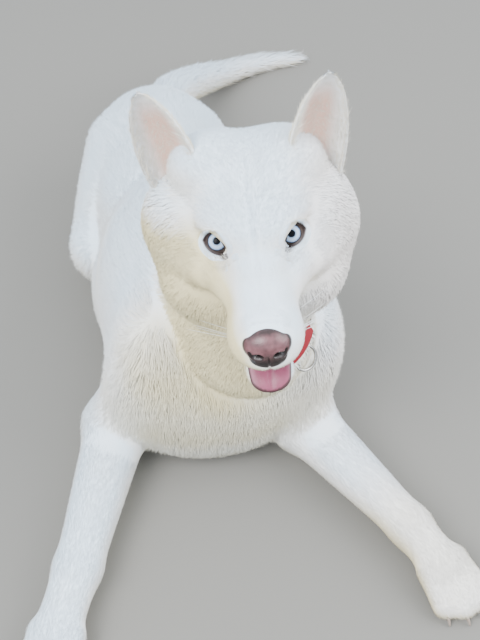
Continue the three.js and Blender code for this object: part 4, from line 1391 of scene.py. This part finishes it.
# Claws: a short curved cone out of the front of each toe
clawShape = {
    "out": 0.62,  # place and height of the root, as parts of the toe's radius
    "high": 0.85,
    "bend": (0.6, 2.2),  # place and rise of the curve's middle
    "narrow": 0.8,
    "around": 14,
    "overFloor": 0.8,
}
clawPieces = []
for foot, ends in toes.items():
    radius = paw["toeRadius"] - (foot[:4] == "hind")
    for i, (start, end) in enumerate(ends):
        way = unit((end - start) * (1, 1, 0))
        root = end + way * radius * clawShape["out"]
        root[2] = radius * clawShape["high"]
        tip = root + way * paw["claw"]
        tip[2] = paw["clawRadius"] * 0.5
        bend = mix(root, tip, clawShape["bend"][0]) + vec(0, 0, clawShape["bend"][1])
        t = np.linspace(0, 1, 10)[:, None]
        middle = (1 - t) ** 2 * root + 2 * t * (1 - t) * bend + t ** 2 * tip
        across = vec(-way[1], way[0], 0)
        up = unit(np.cross(across, tip - root))
        lean = np.linspace(0, 2 * math.pi, clawShape["around"], endpoint=False)[:, None]
        edge = clawShape["narrow"] * np.cos(lean) * across + np.sin(lean) * up
        size = paw["clawRadius"] * np.sqrt(1 - 0.93 * t ** 1.5)
        rows = [m + s * edge for m, s in zip(middle, size[:, 0])]
        rows = np.array([np.tile(root, (len(lean), 1)), *rows, np.tile(tip, (len(lean), 1))])
        rows[:, :, 2] = np.maximum(rows[:, :, 2], clawShape["overFloor"])
        claw = addRows(f"claw_{foot}_{i + 1}_horn", rows)
        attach(claw, "root")
        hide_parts(f"claw_{foot}_{i + 1}")
        clawPieces.append(claw)
print("collar, ring and claws")


# Finishes. A value or colour in the shader is worked with as in a Python expression.
class Shade:
    def __init__(self, tree, socket):
        self.tree, self.socket = tree, socket

    def node(self, kind, settings=None, **values):
        made = self.tree.nodes.new(kind)
        for key, value in (settings or {}).items():
            if key == "stops":
                ramp = made.color_ramp
                while len(ramp.elements) < len(value):
                    ramp.elements.new(0.5)
                for stop, (place, colour) in zip(ramp.elements, value):
                    stop.position = place
                    stop.color = (*colour, 1)
            else:
                setattr(made, key, value)
        for key, value in values.items():
            place = int(key[1:]) if key[0] == "i" and key[1:].isdigit() else key.replace("_", " ")
            if isinstance(value, Shade):
                self.tree.links.new(value.socket, made.inputs[place])
            else:
                made.inputs[place].default_value = value
        return made

    def math(self, operation, a, b=0.0):
        made = self.node("ShaderNodeMath", {"operation": operation}, i0=a, i1=b)
        return Shade(self.tree, made.outputs[0])

    def __add__(self, other):
        return self.math("ADD", self, other)

    def __mul__(self, other):
        return self.math("MULTIPLY", self, other)

    def __sub__(self, other):
        return self.math("SUBTRACT", self, other)

    def __rsub__(self, other):
        return self.math("SUBTRACT", other, self)

    def clamped(self):
        made = self.node("ShaderNodeClamp", None, Value=self)
        return Shade(self.tree, made.outputs[0])


class Finish:
    def __init__(self, name, colour, roughness, metallic=0.0, **fixed):
        self.material = bpy.data.materials.new(name)
        self.material.use_nodes = True
        self.tree = self.material.node_tree
        self.shader = self.tree.nodes["Principled BSDF"]
        self.start = Shade(self.tree, None)
        self.set(Base_Color=(*colour, 1), Roughness=roughness, Metallic=metallic, **fixed)

    def set(self, **values):
        for key, value in values.items():
            place = self.shader.inputs[key.replace("_", " ")]
            if isinstance(value, Shade):
                self.tree.links.new(value.socket, place)
            else:
                place.default_value = value

    def out(self, made, place=0):
        return Shade(self.tree, made.outputs[place])

    def marking(self, name):
        made = self.start.node("ShaderNodeAttribute", {"attribute_name": "markings"})
        if name == "alpha":
            return self.out(made, "Alpha")
        parts = self.start.node("ShaderNodeSeparateColor", None, Color=self.out(made, "Color"))
        return self.out(parts, {"red": 0, "green": 1, "blue": 2}[name])

    def place(self):
        return self.out(self.start.node("ShaderNodeTexCoord"), "Object")

    def noise(self, scale, detail=3.0, where=None):
        made = self.start.node(
            "ShaderNodeTexNoise", None, Vector=where or self.place(), Scale=scale, Detail=detail)
        return self.out(made, 0)

    def mixed(self, amount, first, second, blend="MIX"):
        first, second = [(*c, 1) if isinstance(c, tuple) else c for c in (first, second)]
        made = self.start.node(
            "ShaderNodeMix", {"data_type": "RGBA", "blend_type": blend}, i0=amount, i6=first, i7=second)
        return self.out(made, 2)

    def ramp(self, value, stops):
        return self.out(self.start.node("ShaderNodeValToRGB", {"stops": stops}, Fac=value))

    def bump(self, height, strength, distance):
        made = self.start.node("ShaderNodeBump", None, Height=height, Strength=strength, Distance=distance)
        self.set(Normal=self.out(made))

    def on(self, *things):
        for thing in things:
            thing.data.materials.clear()
            thing.data.materials.append(self.material)


# The coat's whites: a cool white for painted light on the coat that faces up, a plain white, a cream that
# also serves as painted shade, and a warm white
coolLitWhite = (0.74, 0.88, 1.0)
white = (0.88, 0.89, 0.88)
creamShadeWhite = (0.76, 0.66, 0.38)
warmWhite = (0.93, 0.84, 0.78)
rimBrown = (0.045, 0.03, 0.028)
mouthPink = (0.30, 0.09, 0.09)
earPink = (0.76, 0.47, 0.37)


def coatFinish(name):
    finish = Finish(name, white, 0.62)
    patches = finish.noise(14.0, 4.0)
    shadeAndCream = (finish.marking("red") + (patches - 0.5) * 0.25).clamped()
    # The ramp paints cool light on the coat that faces up, and cream, partly painted shade, on the coat
    # that faces down
    colour = finish.ramp(shadeAndCream, [(0.0, coolLitWhite), (0.4, white), (1.0, creamShadeWhite)])
    colour = finish.mixed(finish.marking("green") * 0.7, colour, warmWhite)
    colour = finish.mixed(1 - finish.marking("alpha"), colour, mouthPink)
    colour = finish.mixed(finish.marking("blue"), colour, rimBrown)
    finish.set(Base_Color=colour)
    return finish


coatWhite = coatFinish("coatWhite")
coatWhite.on(*coatPieces)
skinWhite = coatFinish("skinWhite")
skinWhite.on(skinPiece)
lidSkin = coatFinish("lidSkin")
lidSkin.set(Roughness=0.4)
lidSkin.on(*(lid["thing"] for lid in lidPieces.values()))

earSkin = Finish("earSkin", white, 0.6)
bare = 1 - earSkin.marking("alpha")
earSkin.set(Base_Color=earSkin.mixed(bare, white, earPink))
earSkin.on(*(cup["thing"] for cup in earPieces.values()))

noseSkin = Finish("noseSkin", (0.2, 0.1, 0.1), 0.33)
pebbles = noseSkin.start.node("ShaderNodeTexVoronoi", None, Vector=noseSkin.place(), Scale=900.0)
freckles = noseSkin.noise(160.0, 3.0)
tone = (noseSkin.marking("red") * 0.7 + (freckles - 0.5) * 0.7).clamped()
# The darkest stops hold the painted shade inside the nostrils
noseSkin.set(Base_Color=noseSkin.ramp(tone, [
    (0.0, (0.010, 0.006, 0.006)), (0.35, (0.035, 0.018, 0.018)),
    (0.75, (0.15, 0.062, 0.07)), (1.0, (0.21, 0.10, 0.11)),
]))
noseSkin.bump(noseSkin.out(pebbles, "Distance"), 0.2, 0.0005)
noseSkin.on(nosePiece)

tongueSkin = Finish("tongueSkin", (0.3, 0.08, 0.12), 0.42)
blotches = tongueSkin.ramp(
    tongueSkin.noise(60.0, 2.0), [(0.3, (0.20, 0.035, 0.075)), (0.7, (0.27, 0.062, 0.115))])
# The rim marking paints shade on the tongue's edge
tongueSkin.set(Base_Color=tongueSkin.mixed(tongueSkin.marking("red"), blotches, (0.06, 0.02, 0.025)))
tongueSkin.bump(tongueSkin.noise(420.0, 4.0), 0.3, 0.0006)
tongueSkin.on(tonguePiece)

eyeFinish = Finish("eyeFinish", (0.5, 0.6, 0.75), 0.2, Specular_IOR_Level=0.06)
fromPupil = eyeFinish.marking("red") * 4
spokes = eyeFinish.start.node(
    "ShaderNodeCombineXYZ", None,
    X=eyeFinish.marking("green") * 9, Y=eyeFinish.marking("blue") * 9, Z=fromPupil * 0.8)
fibres = eyeFinish.noise(2.2, 5.0, eyeFinish.out(spokes))
where = fromPupil + (fibres - 0.5) * 0.16
eyeColour = eyeFinish.ramp(where * 0.8, [
    (0.0, (0.003, 0.003, 0.004)), (0.27, (0.004, 0.005, 0.008)), (0.32, (0.22, 0.30, 0.42)),
    (0.46, (0.46, 0.57, 0.74)), (0.64, (0.38, 0.51, 0.72)), (0.72, (0.20, 0.29, 0.46)),
    (0.79, (0.03, 0.035, 0.05)), (0.85, (0.03, 0.025, 0.025)), (0.93, (0.06, 0.045, 0.04)),
    (1.0, (0.06, 0.045, 0.04)),
])
eyeFinish.set(Base_Color=eyeColour)
eyeFinish.on(*eyePieces)

webbing = Finish("webbing", (0.25, 0.002, 0.012), 0.7)
weave = webbing.start.node(
    "ShaderNodeTexWave", {"wave_type": "BANDS"}, Vector=webbing.place(), Scale=260.0, Distortion=2.0)
webbing.bump(webbing.out(weave, 1), 0.4, 0.0004)
webbing.on(collarPiece, tabPiece)
ringMetal = Finish("ringMetal", (0.42, 0.41, 0.39), 0.25, 1.0)
ringMetal.on(ringPiece)
horn = Finish("horn", (0.30, 0.24, 0.20), 0.4)
horn.on(*clawPieces)
print("finishes")


# Camera, lights and floor. The focal length and the picture's longer side are in pixels.
view = {"focal": 1000, "longSide": 640, "eye": (-57, -683, 1048), "yaw": 7.6, "pitch": 50, "roll": -0.5}
yaw, pitch = math.radians(view["yaw"]), math.radians(view["pitch"])
ahead = Vector((math.sin(yaw) * math.cos(pitch), math.cos(yaw) * math.cos(pitch), -math.sin(pitch)))
rightWay = Vector((math.cos(yaw), -math.sin(yaw), 0))
upWay = rightWay.cross(ahead)
roll = math.radians(view["roll"])
rightWay, upWay = (
    rightWay * math.cos(roll) - upWay * math.sin(roll),
    rightWay * math.sin(roll) + upWay * math.cos(roll),
)
camera = bpy.data.objects.new("camera", bpy.data.cameras.new("camera"))
bpy.context.scene.collection.objects.link(camera)
camera.data.sensor_width = 36
camera.data.lens = view["focal"] * camera.data.sensor_width / view["longSide"]
camera.matrix_world = Matrix.Translation(toScene(vec(*view["eye"]))) @ Matrix(
    (rightWay, upWay, -ahead)).transposed().to_4x4()
bpy.context.scene.camera = camera

world = bpy.data.worlds.new("studio")
world.use_nodes = True
background = world.node_tree.nodes["Background"].inputs
background["Color"].default_value = (0.85, 0.92, 1.0, 1)
background["Strength"].default_value = 2.1
bpy.context.scene.world = world
for name, place, size, power in (
    ("key", (-1.6, -1.5, 2.6), 1.8, 150),
    ("fill", (2.0, -0.6, 1.6), 2.0, 80),
):
    light = bpy.data.objects.new(name, bpy.data.lights.new(name, "AREA"))
    bpy.context.scene.collection.objects.link(light)
    light.data.size = size
    light.data.energy = power
    light.location = place
    light.rotation_euler = (Vector((0, -0.1, 0.2)) - light.location).to_track_quat("-Z", "Y").to_euler()
bpy.ops.mesh.primitive_plane_add(size=12)
floor = bpy.context.object
floor.name = "floor"
Finish("floorFinish", (0.19, 0.185, 0.17), 0.9).on(floor)
